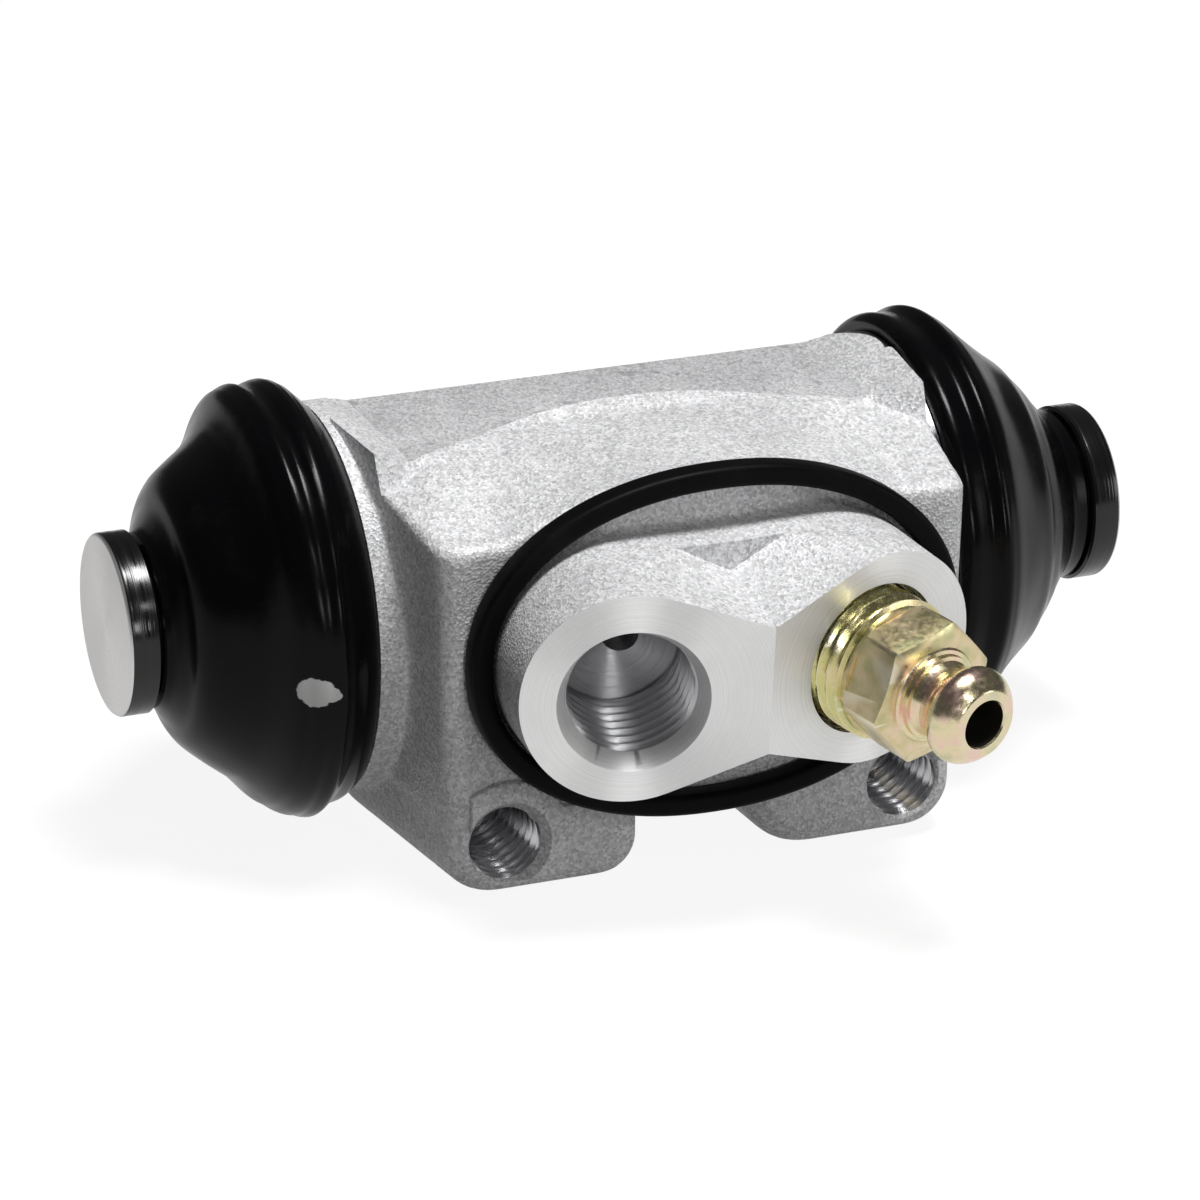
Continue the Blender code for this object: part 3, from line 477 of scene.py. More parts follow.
def cast_skin(name, dark, light, painted_glint, nicks):
    """Grey between dark and light. Each facet is painted lighter or darker by a share, partly grain and
    partly a painted glint; fewer nicks at a higher threshold.
    """
    made, tree, shader, where = start_finish(name, dark, 0.5, 0.12)
    slow = grain(tree, where, SLOW_SCALE, 3.0).outputs["Fac"]
    coarse = grain(tree, where, COARSE_SCALE, 2.0, 0.6).outputs["Fac"]
    facets = add_node(tree, "TexVoronoi", Vector=where, Scale=FACET_SCALE)
    spots = add_node(tree, "TexNoise", Vector=where, Scale=NICK_SCALE, Detail=4.0, Distortion=0.4)
    base = mix(tree, between(tree, slow, 0.3, 0.7, 0.0, 1.0), dark, light)
    # Painted glint and grain: each facet's grey is scaled up or down at random, standing in partly for
    # facets that catch the light.
    tone = between(tree, facets.outputs["Color"], 0.0, 1.0, 1 - painted_glint, 1 + painted_glint)
    base = add_node(tree, "VectorMath", {"operation": "SCALE"}, _0=base, Scale=tone).outputs[0]
    nick = between(tree, spots.outputs["Fac"], nicks, nicks + 0.05, 0.0, 0.5)
    base = mix(tree, nick, base, NICK_GREY)
    tree.links.new(base, shader.inputs["Base Color"])
    tree.links.new(between(tree, coarse, 0.3, 0.7, 0.62, 0.42), shader.inputs["Roughness"])
    first = bump(tree, shader, coarse, 0.5, GRAIN_DEPTH)
    bump(tree, shader, facets.outputs["Distance"], 0.8, GRAIN_DEPTH, first)
    return made


# %% [markdown]
# ## Finish: machined aluminium
# A lathe tool or a drill leaves fine rings about its own axis. They do two things. As a pattern they
# are a one-dimensional noise, on the distance from the axis plus the distance along it, so that one
# finish suits faces, walls and cones. And they spread light only across themselves, so a lamp shows
# as a bright streak through the axis. The anisotropic lobe gives that streak. It needs the direction
# in which the rings run, which is the cross product of the axis and the place.

# %% Machined aluminium
PALE = (0.93, 0.93, 0.925)
BRIGHT = (0.66, 0.66, 0.68)
MARK_DEPTH = 0.00003
WEAR_SCALE = 500.0
QUARTER_TURN = 0.25


def machined(name, placed, colour=PALE, roughness=0.46, scale=9000.0, streak=0.85, metal=1.0):
    """Turning marks about the Z axis of a frame. The streak is how far the shine spreads one way."""
    made, tree, shader, where = start_finish(name, colour, roughness, metal)
    local = in_frame(tree, where, placed)
    along = add_node(tree, "SeparateXYZ", Vector=local).outputs["Z"]
    marks = rings(tree, maths(tree, "ADD", from_axis(tree, local), along), scale)
    worn = grain(tree, where, WEAR_SCALE, 3.0).outputs["Fac"]
    tone = mix(tree, between(tree, marks, 0.35, 0.65, 0.0, 1.0), [c * 0.84 for c in colour], colour)
    tone = mix(tree, between(tree, worn, 0.5, 0.8, 0.0, 0.3), tone, [c * 0.8 for c in colour])
    tree.links.new(tone, shader.inputs["Base Color"])
    rough = maths(tree, "ADD", between(tree, marks, 0.3, 0.7, -0.06, 0.08), roughness)
    tree.links.new(rough, shader.inputs["Roughness"])
    bump(tree, shader, marks, 0.5, MARK_DEPTH)
    offset = add_node(tree, "VectorMath", {"operation": "SUBTRACT"}, _0=where, _1=placed.translation * MM)
    around = add_node(tree, "VectorMath", {"operation": "CROSS_PRODUCT"},
                      _0=placed.to_3x3() @ Vector((0, 0, 1)), _1=offset.outputs[0])
    turned_to = add_node(tree, "VectorTransform", {"convert_from": "OBJECT", "convert_to": "WORLD"},
                         Vector=around.outputs[0])
    tree.links.new(turned_to.outputs[0], shader.inputs["Tangent"])
    shader.inputs["Anisotropic"].default_value = streak
    shader.inputs["Anisotropic Rotation"].default_value = QUARTER_TURN
    return made


ALONG_BORE = Matrix.Rotation(math.radians(90), 4, "Y")
CAST = cast_skin("cast_aluminium", (0.64, 0.64, 0.65), (0.76, 0.76, 0.77), 0.4, 0.74)
STRUCK = cast_skin("struck_flat", (0.54, 0.54, 0.55), (0.66, 0.66, 0.67), 0.36, 0.62)
INLET_FACE = machined("inlet_face", INLET)
BLEEDER_FACE = machined("bleeder_face", BLEEDER)
INLET_WALL = machined("inlet_wall", INLET, BRIGHT, 0.34, 3500.0, 0.9)
INLET_SEAT = machined("inlet_seat", INLET, BRIGHT, 0.44, 3500.0, 0.95)
CHAMFER = machined("inlet_chamfer", INLET, (0.8, 0.8, 0.8), 0.5, 6000.0, 0.6, metal=0.5)
BLEEDER_WALL = machined("bleeder_wall", BLEEDER, BRIGHT, 0.26, 3500.0)
BORE = machined("honed_bore", ALONG_BORE, BRIGHT, 0.2)
TURNED = machined("turned_collar", ALONG_BORE, BRIGHT, 0.24, 4000.0)
print("finishes for the casting:", [m.name for m in bpy.data.materials if m.name != "white_paper"])

# %% [markdown]
# ## The casting
# A casting is soft everywhere that the mould shaped it and crisp wherever a tool touched it. So it
# is made the same way round: a blank is joined from simple forms, remeshed and smoothed, which
# rolls a small fillet into each corner, and only then come the forms that have crisp edges. Those
# are the collars, the flat top, the valleys of the boss, the raised faces and what the cutters take.

# %% Sizes of the blank
BARREL_R = 13.0
COLLAR_R = 13.3
COLLAR_FROM = 18.4
COLLAR_TO = 20.6
HALF_LENGTH = 24.6
GROOVE_R = 12.2
GROOVE_WIDTH = 2.2
FLANGE_R = 13.1
FRONT_Y = -18.75
FLAT_TOP = 11.8
CREASE_X = 17.0  # where the flat top starts to climb
STEP = 0.3  # how far the blank stands above the flat top before that is cut
FRONT_HALF = 18.2
DRAFT = 0.1
CORNER_Z = 9.6
CROWN_Z = 12.6  # top of the arched front edge, and the radius of its arch
CROWN_R = 33.7
BLOCK_BOTTOM = -9.9
EAR_BOTTOM = -15.4
EAR_BACK = -0.6
HOLE_X = 14.4
HOLE_Z = -11.75
PAD_PROUD = 0.35
BOSS_Z = 1.25
SHELF = 3.5  # how far out of the mounting face the boss's valley starts
EDGE_R = 1.5
ARCH_HALF = 15.6
CLIMB = 0.44


def front_stations():
    """Places behind the front face, and how far the outline stands in there: a quarter circle."""
    return [(FRONT_Y + EDGE_R * (1 - math.cos(math.radians(a))), EDGE_R * (1 - math.sin(math.radians(a))))
            for a in (0, 22, 45, 67, 90)]


def half_width(y):
    """The side walls open out from the mounting face, so that the casting leaves its mould."""
    return FRONT_HALF + DRAFT * (y - FRONT_Y)


def flat_front(x):
    """Where the flat top ends: a line that bows back in the middle."""
    middle, bow = -3.1, 4.6
    return middle - bow * (x / ARCH_HALF) ** 2


def top_height(x):
    """The flat top is level up to CREASE_X, and then it climbs to the top of the end wall."""
    return FLAT_TOP + CLIMB * max(0.0, abs(x) - CREASE_X)


print("end walls open from", FRONT_HALF, "to", round(half_width(EAR_BACK), 2), "mm behind the ears")

# %% [markdown]
# ## Barrel and collars
# The barrel is round all along, because the bore wants an even wall. A profile turned about the axis
# makes it with a groove for each boot's rim. The collar beside the groove is turned on the real part,
# so its disc is a piece of its own that joins the smoothed blank.

# %% Barrel and collars
def barrel_blank():
    """Turned round at both ends alike: collar, boot groove and flange."""
    end = [
        (COLLAR_FROM - 1.4, BARREL_R), (COLLAR_FROM - 0.2, COLLAR_R - 0.1), (COLLAR_TO, COLLAR_R - 0.1),
        (COLLAR_TO + 0.4, GROOVE_R), (COLLAR_TO + GROOVE_WIDTH, GROOVE_R),
        (COLLAR_TO + GROOVE_WIDTH + 0.3, FLANGE_R), (HALF_LENGTH - 0.3, FLANGE_R),
        (HALF_LENGTH, FLANGE_R - 0.4), (HALF_LENGTH, 0),
    ]
    made = lathe("housing_skin", [(-a, r) for a, r in reversed(end)] + end, 128, CAST)
    return bake_place(made, ALONG_BORE)


# Side, outer end and finish. Only the right collar shows a bright turned strip.
COLLARS = ((-1, 21.15, CAST), (1, 20.7, TURNED))


def collar_blank(side, outer, finish):
    """A plain disc. It joins the blank after the smoothing, so that its edge stays crisp."""
    inner = COLLAR_FROM + 0.4
    profile = [(inner, 0), (inner, COLLAR_R), (outer, COLLAR_R), (outer + 0.1, GROOVE_R - 0.3),
               (outer + 0.1, 0)]
    made = lathe("collar", profile, 192, finish)
    return bake_place(made, Matrix.Rotation(math.radians(90) * side, 4, "Y"))


# %% [markdown]
# ## Block
# The block carries the mounting face. Its front edge is rounded and arched, its top slopes up to the
# flat, and its end walls open out backwards. A stack of outlines with as many points each, skinned
# from front to back, gives all of that at once. A box with bevels could not follow the arch.

# %% Block
CORNER_SLOPE = 0.4
WALL_HEAD = 0.7
WALL_FOOT = 0.2


def block_blank():
    """Rows from the front face backwards. The first ones round the edge, the others rise to the top."""
    cells = 24
    xs = [ARCH_HALF * (2 * i / cells - 1) for i in range(cells + 1)]
    top = FLAT_TOP + STEP

    def row(corner, middle, wall, drop):
        """Mirrors a corner and its end wall, and puts the middle between them."""
        x, y, z = corner
        side = [(x, y, z), (wall + WALL_HEAD, y, z - drop), (wall + WALL_FOOT, y, BLOCK_BOTTOM)]
        return [(-a, b, c) for a, b, c in reversed(side)] + middle + side

    def arch(inset):
        """The crown of the front face, an arc that ends level with the corners."""
        return [(x, max(CORNER_Z, CROWN_Z - x * x / (2 * CROWN_R)) - CORNER_SLOPE * inset) for x in xs]

    rows = [
        row((FRONT_HALF + 0.1 - inset, y, CORNER_Z - CORNER_SLOPE * inset),
            [(x, y, z) for x, z in arch(inset)], FRONT_HALF - inset, 0.5)
        for y, inset in front_stations()
    ]
    proud, drop = 14.2, 0.4
    behind = [(x, max(flat_front(x) + 0.5, -5.0), top) for x in xs]
    rows += [
        row((19.7, -10.0, 10.6), [(x, flat_front(x), top) for x in xs], half_width(-10), drop),
        row((19.9, -8.6, proud), [(x, flat_front(x) + 0.3, top) for x in xs], half_width(-8.6), drop),
        row((20.5, -1.9, proud), behind, half_width(-1.9), drop),
        row((20.4, 1.5, 7.0), [(x, 4.0, 7.0) for x in xs], half_width(-1.0), 2.4),
    ]
    return skin("block", rows, CAST)


# %% [markdown]
# ## Ears
# Two ears hang below the block and hold the bolts. They differ: the left one is narrower and has a
# smaller inner corner. One function with the inner edge and its radius makes both. The raised face
# round each hole meets the backing plate. It joins after the smoothing, with a small edge of its own.

# %% Ears and their raised faces
# Side, inner edge and the radius of the inner corner.
EARS = ((-1, 4.85, 2.5), (1, 3.1, 4.3))
EAR_TOP = -6.0
EAR_DRAFT = 0.3
PAD_R = 4.6
PAD_CORNER = 2.8


def ear_outline(inner, inner_r, outer, bottom, top):
    """A tab with two round corners at its foot."""
    outer_r = 3.0
    points = [(inner, top)]
    points += arc((inner + inner_r, bottom + inner_r), inner_r, 180, 270, 8)
    points += arc((outer - outer_r, bottom + outer_r), outer_r, 270, 360, 8)
    return points + [(outer, top)]


def ear_blank(side, inner, inner_r):
    """One ear, from its rounded front edge to its back. It widens backwards as the walls do."""
    rows = []
    for y, inset in front_stations() + [(EAR_BACK, 0.0)]:
        grow = half_width(y) - FRONT_HALF
        outline = ear_outline(inner - EAR_DRAFT * grow + 0.5 * inset, inner_r, half_width(y) - inset,
                              EAR_BOTTOM - EAR_DRAFT * grow + 0.5 * inset, EAR_TOP)
        rows.append([(side * u, y, v) for u, v in outline])
    return skin("ear", rows, CAST)


def pad_blank(side, inner, inner_r):
    """The raised face follows the ear's outline, and goes round the bolt hole above."""
    low, outer = EAR_BOTTOM + 0.9, FRONT_HALF - 1.2
    points = [(inner + 0.9, HOLE_Z + 2.0)]
    points += arc((inner + inner_r + 0.5, low + inner_r), inner_r - 0.1, 180, 270, 8)
    points += arc((outer - PAD_CORNER, low + PAD_CORNER), PAD_CORNER, 270, 360, 8)
    points += arc((HOLE_X, HOLE_Z), PAD_R, math.degrees(math.acos((outer - HOLE_X) / PAD_R)), 150, 14)
    middle = (side * HOLE_X, HOLE_Z)
    rows = []
    for y, scale in ((FRONT_Y - PAD_PROUD, 0.955), (FRONT_Y - PAD_PROUD + 0.08, 0.98),
                     (FRONT_Y - PAD_PROUD + 0.22, 1.0), (FRONT_Y + 1, 1.0)):
        rows.append([(middle[0] + (side * u - middle[0]) * scale, y, middle[1] + (v - middle[1]) * scale)
                     for u, v in points])
    return skin("pad", rows, CAST)


# %% [markdown]
# ## Boss
# Two round lobes, one for each port, stand out of the mounting face and meet at a waist. Each half
# outline is an arc and then a line that leaves it without a kink. The lobes spread and shrink a
# little on the way out. The waist starts full and a valley is cut into it after the smoothing, which
# leaves the small crisp shelf at the valley's foot.

# %% The boss with its two lobes
LOBE_X = 7.3
LOBE_SPREAD = 0.175
LOBE_R = 8.25
LOBE_DRAFT = 0.09
ARC_PARTS = 18
LINE_PARTS = 9


def lobe(depth):
    """Where a lobe's middle stands, and its radius, at a depth out of the mounting face."""
    return LOBE_X + LOBE_SPREAD * depth, LOBE_R - LOBE_DRAFT * depth


def boss_half(depth, waist):
    """A lobe's arc from its outer side, and then a straight line down to the waist in the middle."""
    centre, radius = lobe(depth)
    touch = math.pi - math.atan2(waist, centre) - math.acos(radius / math.hypot(centre, waist))
    half_line = [(centre + u, v) for u, v in arc((0, 0), radius, 0, math.degrees(touch), ARC_PARTS)]
    u, v = half_line[-1]
    return half_line + [(u * (1 - i / LINE_PARTS), v + (waist - v) * i / LINE_PARTS)
                        for i in range(1, LINE_PARTS + 1)]


def boss_blank():
    """The boss before the valley is cut: its waist is nearly as high as its lobes."""
    full_waist = 0.97
    rows = []
    for depth in (-2, 0, 1.5, 3.3, 4.5, 6, 9, 12.5):
        inside = max(depth, 0)
        half_line = boss_half(inside, full_waist * lobe(inside)[1])
        upper = half_line + [(-u, v) for u, v in reversed(half_line[:-1])]
        outline = upper + [(u, -v) for u, v in reversed(upper[1:-1])]
        rows.append([(u, FRONT_Y - depth, BOSS_Z + v) for u, v in outline])
    return skin("boss", rows, CAST)


def notch_tool(up):
    """The valley between the lobes. It starts narrow at a shelf, and widens on the way out."""
    shelf_waist, deepening = 5.72, 0.16
    shelf_half, shelf_rise = 4.0, 2.15
    count, clear = 13, 12.0
    rows = []
    for depth in (SHELF, 6, 9, 13.5):
        waist = shelf_waist - deepening * (depth - SHELF)
        half_line = boss_half(depth, waist)[-count:]
        if depth == SHELF:
            shares = [1 - i / (count - 1) for i in range(count)]
            half_line = [(shelf_half * share, waist + shelf_rise * share) for share in shares]
        half_line = [(half_line[0][0], clear)] + half_line
        outline = half_line + [(-u, v) for u, v in reversed(half_line[:-1])]
        rows.append([(u, FRONT_Y - depth, BOSS_Z + up * v) for u, v in outline])
    return skin("notch_tool", rows, CAST)


print("lobe at the mounting face:", lobe(0))
print("lobe at the ridge:", [round(v, 2) for v in lobe(FRONT_Y - RIDGE.y)])

# %% [markdown]
# ## Flat top
# The flat top has a darker grain than the skin round it, and a clean edge. A tool that clears all
# above it gives both, since the faces that it cuts bring their own finish. At both ends the level
# climbs to the end walls, and a small corner valley lies before each of them.

# %% Tools for the top of the casting
TOP_EDGE = 16.4


def corner_tool(side):
    """A crisp little valley where the slope meets the raised end of the casting."""
    forward, rise = 5.3, 0.1
    back = [(TOP_EDGE, -8.2, 11.85), (21.0, -10.3, 10.0), (21.0, -8.26, 15.0), (TOP_EDGE, -6.91, 15.0)]
    front = [(x, y - forward, z + rise) for x, y, z in back]
    return skin("corner_tool", [[(side * x, y, z) for x, y, z in row] for row in (back, front)], CAST)


def flat_top_tool():
    """Clears everything above the flat top and above the two ends that climb to the walls."""
    past_end, behind, above = 23.0, 16.0, 18.0
    end_front, end_slant = -7.9, 0.4
    xs = [ARCH_HALF * (i / 12 - 1) for i in range(25)]
    xs = [-past_end, -CREASE_X, -TOP_EDGE] + xs + [TOP_EDGE, CREASE_X, past_end]
    rows = []
    for x in xs:
        front = flat_front(x) + STEP
        if abs(x) > TOP_EDGE:
            front = end_front - end_slant * (abs(x) - TOP_EDGE)
        level = top_height(x)
        rows.append([(x, front, level), (x, behind, level), (x, behind, above), (x, front, above)])
    made = skin("flat_top_tool", rows, CAST)
    made.data.materials.append(STRUCK)
    for face in made.data.polygons:
        highest = max(made.data.vertices[v].co.z for v in face.vertices)
        if highest < above - 3 and abs(face.center.x) < CREASE_X:
            face.material_index = 1
    return made


# %% [markdown]
# ## From blank to casting
# The joined blank goes through a voxel remesh, which gives it even small faces, and a few rounds of
# smoothing, which roll the corners. The voxel size sets how small a corner survives. The collars and
# the raised faces are joined after that, and the flat top, the valleys and the corners are cut.

# %% Join, remesh and smooth
VOXEL = 0.3 if FINE else 0.8
SMOOTHING = 4 if FINE else 2

housing = barrel_blank()
boolean(housing, block_blank(), "UNION")
for side, inner, inner_r in EARS:
    boolean(housing, ear_blank(side, inner, inner_r), "UNION")
boolean(housing, boss_blank(), "UNION")
remesh = housing.modifiers.new("even_faces", "REMESH")
remesh.mode = "VOXEL"
remesh.voxel_size = VOXEL
soften = housing.modifiers.new("cast_corners", "SMOOTH")
soften.factor = 0.5
soften.iterations = SMOOTHING
apply(housing)
for side, outer, finish in COLLARS:
    boolean(housing, collar_blank(side, outer, finish), "UNION")
boolean(housing, flat_top_tool(), "DIFFERENCE")
for side in (-1, 1):
    boolean(housing, notch_tool(side), "DIFFERENCE")
    boolean(housing, corner_tool(side), "DIFFERENCE")
for side, inner, inner_r in EARS:
    boolean(housing, pad_blank(side, inner, inner_r), "UNION")
print("blank:", len(housing.data.polygons), "faces")

# %% [markdown]
# ## Cutting tools
# The face cutter is one V-shaped block, because both machined faces meet at a ridge. The drills are
# turned, and the tapped ones have a helical wall: the radius follows a rounded triangle that moves
# on by one pitch for each turn, so the thread runs out through the chamfer as a real one does.

# %% Face cutter and bore
def on_face(placed, x, z):
    """Y of a machined face at a place."""
    out = placed.to_3x3() @ Vector((0, 0, 1))
    at = placed.translation
    return at.y - (out.x * (x - at.x) + out.z * (z - at.z)) / out.y


def face_tool(placed, side):
    """One half of the V, from the ridge outwards. It is far larger than the boss."""
    wide, tall, out = side * 30.0, 22.0, -60.0
    rows = []
    for z in (-tall, tall):
        near = (0.0, on_face(placed, 0, z), z)
        far = (wide, on_face(placed, wide, z), z)
        rows.append([near, far, (wide, out, z), (0.0, out, z)])
    return skin("face_tool", rows, INLET_FACE if side < 0 else BLEEDER_FACE)


def bore_tool():
    """The bore goes right through, with a small chamfer at both mouths."""
    r, chamfer = 10.32, 0.4
    mouth, past_end = r + chamfer, HALF_LENGTH + 1
    end = [(HALF_LENGTH - chamfer, r), (HALF_LENGTH, mouth), (past_end, mouth), (past_end, 0)]
    made = lathe("bore_tool", [(-a, b) for a, b in reversed(end)] + end, 128, BORE)
    return bake_place(made, ALONG_BORE)


# %% Tapped holes
def thread_form(turns):
    """Height of a thread's flank, 0 at the root and 1 at the crest, for a place along the helix."""
    part = turns % 1.0
    return min(max((1 - abs(2 * part - 1) - 0.1) / 0.8, 0.0), 1.0)


def countersink(mouth, slope, depth, finish):
    """A cone with a given radius at the face. It narrows by the slope for each millimetre down."""
    profile = [(1.0, 0), (1.0, mouth + slope), (-depth, mouth - slope * depth), (-depth, 0)]
    return lathe("countersink", profile, 128, finish)


def tapped_tool(name, crest, root, start, depth, pitch, end, steps, per_pitch, finish):
    """A drill with a helical wall, which begins at a depth and goes down to the points in end."""
    count = int(depth / pitch * (per_pitch if FINE else 4))
    levels = [-depth * i / count for i in range(count + 1)]
    profile = [(1.0, 0), (1.0, crest)] + [(level, crest) for level in levels] + end

    def wall(along, radius, angle):
        if along > 0 or along < -depth:
            return radius
        fade = min(1.0, (depth + along) / pitch, max(0.0, (-along - start) / (0.4 * pitch)))
        deep = thread_form(along / pitch - angle / (2 * math.pi)) * fade
        return crest + (root - crest) * deep

    return lathe(name, profile, steps, finish, shape=wall)


def inlet_tool():
    """The thread ends in a narrow groove, and the seat behind it is a very flat cone."""
    groove_end, seat_from = -8.72, -8.76
    end = [(-8.35, 4.74), (groove_end, 4.74), (seat_from, 4.5), (-9.6, 1.0), (-9.6, 0)]
    made = tapped_tool("inlet_tool", 4.22, 4.72, 1.0, 8.3, 1.0, end, 128, 10, INLET_WALL)
    made.data.materials.append(INLET_SEAT)
    for face in made.data.polygons:
        if max(made.data.vertices[v].co.z for v in face.vertices) < (groove_end + seat_from) / 2:
            face.material_index = 1
    return made


print("thread form over half a pitch:", [round(thread_form(i / 8), 2) for i in range(5)])


# %% Inlet, bleeder and bolt holes
def inlet_drill():
    """The passage to the bore is drilled a little off the middle of the seat."""
    drill_r, off_middle = 1.25, 0.55
    made = lathe("inlet_drill", [(-9.0, 0), (-9.0, drill_r), (-22, drill_r), (-22, 0)], 48, INLET_WALL)
    return bake_place(made, Matrix.Translation((off_middle, 0, 0)))


def bleeder_tool():
    """A short wide mouth, the hole that the screw fills, and the cone and passage that it closes."""
    mouth, hole, passage = 5.31, 5.02, 1.2
    profile = [(1, 0), (1, mouth), (-0.9, mouth), (-1.25, hole), (-9.4, hole), (-11.6, passage),
               (-21, passage), (-21, 0)]
    return lathe("bleeder_tool", profile, 96, BLEEDER_WALL)


def bolt_hole_tool(finish):
    """An M6 thread with a drill's point below it."""
    end = [(-12.5, 2.45), (-13.9, 0)]
    return tapped_tool("bolt_hole_tool", 2.42, 2.92, 0.5, 12.0, 1.0, end, 60, 8, finish)


# %% Cut the blank
for placed, side in ((INLET, -1), (BLEEDER, 1)):
    boolean(housing, face_tool(placed, side), "DIFFERENCE")
boolean(housing, bore_tool(), "DIFFERENCE")
boolean(housing, bake_place(countersink(5.06, 0.55, 1.48, CHAMFER), INLET), "DIFFERENCE")
boolean(housing, bake_place(inlet_tool(), INLET), "DIFFERENCE")
boolean(housing, bake_place(inlet_drill(), INLET), "DIFFERENCE")
boolean(housing, bake_place(bleeder_tool(), BLEEDER), "DIFFERENCE")
FACING_OUT = Matrix.Rotation(math.radians(90), 4, "X")
for side in (-1, 1):
    place = Matrix.Translation((side * HOLE_X, FRONT_Y - PAD_PROUD, HOLE_Z)) @ FACING_OUT
    wall = machined("left_bolt_hole" if side < 0 else "right_bolt_hole", place, BRIGHT, 0.24, 3500.0, 0.8)
    boolean(housing, bake_place(countersink(3.08, 0.75, 0.85, CAST), place), "DIFFERENCE")
    boolean(housing, bake_place(bolt_hole_tool(wall), place), "DIFFERENCE")
finish_piece(housing, "body")
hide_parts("housing")

# %% [markdown]
# ## Rubber
# Moulded rubber is nearly black, and its gloss does the talking. The boots come out of a polished
# mould, so they carry sharp highlights with a faint orange peel; the sealing ring is matte. Both
# collect pale dust, which a thresholded noise puts on in specks and smears.

# %% Rubber finishes
SMEAR_GREY = (0.05, 0.05, 0.05)
SPECK_GREY = (0.16, 0.16, 0.155)
BOOT_BLACK = (0.002, 0.002, 0.0025)
RING_BLACK = (0.003, 0.003, 0.003)
PAINT_WHITE = (0.95, 0.95, 0.94)


def rubber(name, colour, roughness, dust, peel, gloss=0.11):
    """Black rubber with dust on it. Peel is the depth of its orange peel in metres."""
    made, tree, shader, where = start_finish(name, colour, roughness, 0.0)
    smear = grain(tree, where, 260, 4.0, 0.6).outputs["Fac"]
    speck = grain(tree, where, 3800, 2.0, 0.5).outputs["Fac"]
    tone = mix(tree, between(tree, smear, 0.55, 0.8, 0.0, dust), colour, SMEAR_GREY)
    tone = mix(tree, between(tree, speck, 0.72, 0.8, 0.0, dust), tone, SPECK_GREY)
    tree.links.new(tone, shader.inputs["Base Color"])
    rough = between(tree, smear, 0.3, 0.7, roughness - 0.05, roughness + 0.1)
    tree.links.new(rough, shader.inputs["Roughness"])
    shader.inputs["Specular IOR Level"].default_value = gloss
    bump(tree, shader, speck, 0.4, peel)
    return made, tree, shader, tone


def paint_dab(made, tree, shader, tone, eggs):
    """White paint where a point's place at rest lies inside an egg shape: (middle, radii) in mm."""
    where = add_node(tree, "Attribute", {"attribute_name": "rest_place"}).outputs["Vector"]
    ragged = grain(tree, where, 1500, 2.0).outputs["Fac"]
    nearest = None
    for middle, size in eggs:
        offset = add_node(tree, "VectorMath", {"operation": "SUBTRACT"}, _0=where, _1=Vector(middle) * MM)
        scaled = add_node(tree, "VectorMath", {"operation": "DIVIDE"}, _0=offset.outputs[0],
                          _1=Vector(size) * MM)
        length = add_node(tree, "VectorMath", {"operation": "LENGTH"}, _0=scaled.outputs[0])
        length = length.outputs["Value"]
        nearest = length if nearest is None else maths(tree, "MINIMUM", nearest, length)
    edge = maths(tree, "ADD", nearest, between(tree, ragged, 0.3, 0.7, -0.12, 0.12))
    share = between(tree, edge, 0.96, 1.04, 1.0, 0.0)
    tree.links.new(mix(tree, share, tone, PAINT_WHITE), shader.inputs["Base Color"])
    return made


DAB = (
    ((-26.0, -14.3, -1.0), (1.15, 3.0, 1.05)),
    ((-25.1, -14.5, -1.1), (0.75, 3.0, 0.55)),
)
BOOT_RUBBER = rubber("boot_rubber", BOOT_BLACK, 0.2, 0.05, 0.00001)[0]
DABBED_RUBBER = paint_dab(*rubber("boot_rubber_with_dab", BOOT_BLACK, 0.2, 0.05, 0.00001), DAB)
RING_RUBBER = rubber("ring_rubber", RING_BLACK, 0.42, 0.08, 0.00002, gloss=0.06)[0]

# %% [markdown]
# ## Sealing ring
# An oval rubber ring is stretched over the boss and lies on the mounting face. It will be squeezed
# between the casting and the backing plate. A rounded section swept round the oval makes it.

# %% Sealing ring
RING_HALF_WIDTH = 17.4
RING_HALF_HEIGHT = 12.25
RING_SQUARENESS = 2.12


def ring_outline(offset, count):
    """A superellipse: a little squarer than an ellipse, as the two lobes stretch it."""
    power = 2 / RING_SQUARENESS
    points = []
    for i in range(count):
        angle = 2 * math.pi * i / count
        u = math.copysign(abs(math.cos(angle)) ** power, math.cos(angle))
        v = math.copysign(abs(math.sin(angle)) ** power, math.sin(angle))
        points.append(((RING_HALF_WIDTH + offset) * u, BOSS_Z + (RING_HALF_HEIGHT + offset) * v))
    return points


def sealing_ring():
    """A rectangle with rounded corners, swept round the oval. It stands a hair off the casting."""
    width, thick, corner = 1.5, 1.95, 0.45
    rear = FRONT_Y - 0.05
    section = []
    for cx, cy, start in ((-corner, -corner, 0), (-width + corner, -corner, 90),
                          (-width + corner, -thick + corner, 180), (-corner, -thick + corner, 270)):
        section += arc((cx, cy), corner, start, start + 90, 5)
    rows = [[(u, rear + y, v) for u, v in ring_outline(x, 160)] for x, y in section]
    return skin("sealing_ring", rows, RING_RUBBER, ring=True)


ring_piece = finish_piece(sealing_ring(), "body")
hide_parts("mounting_seal")
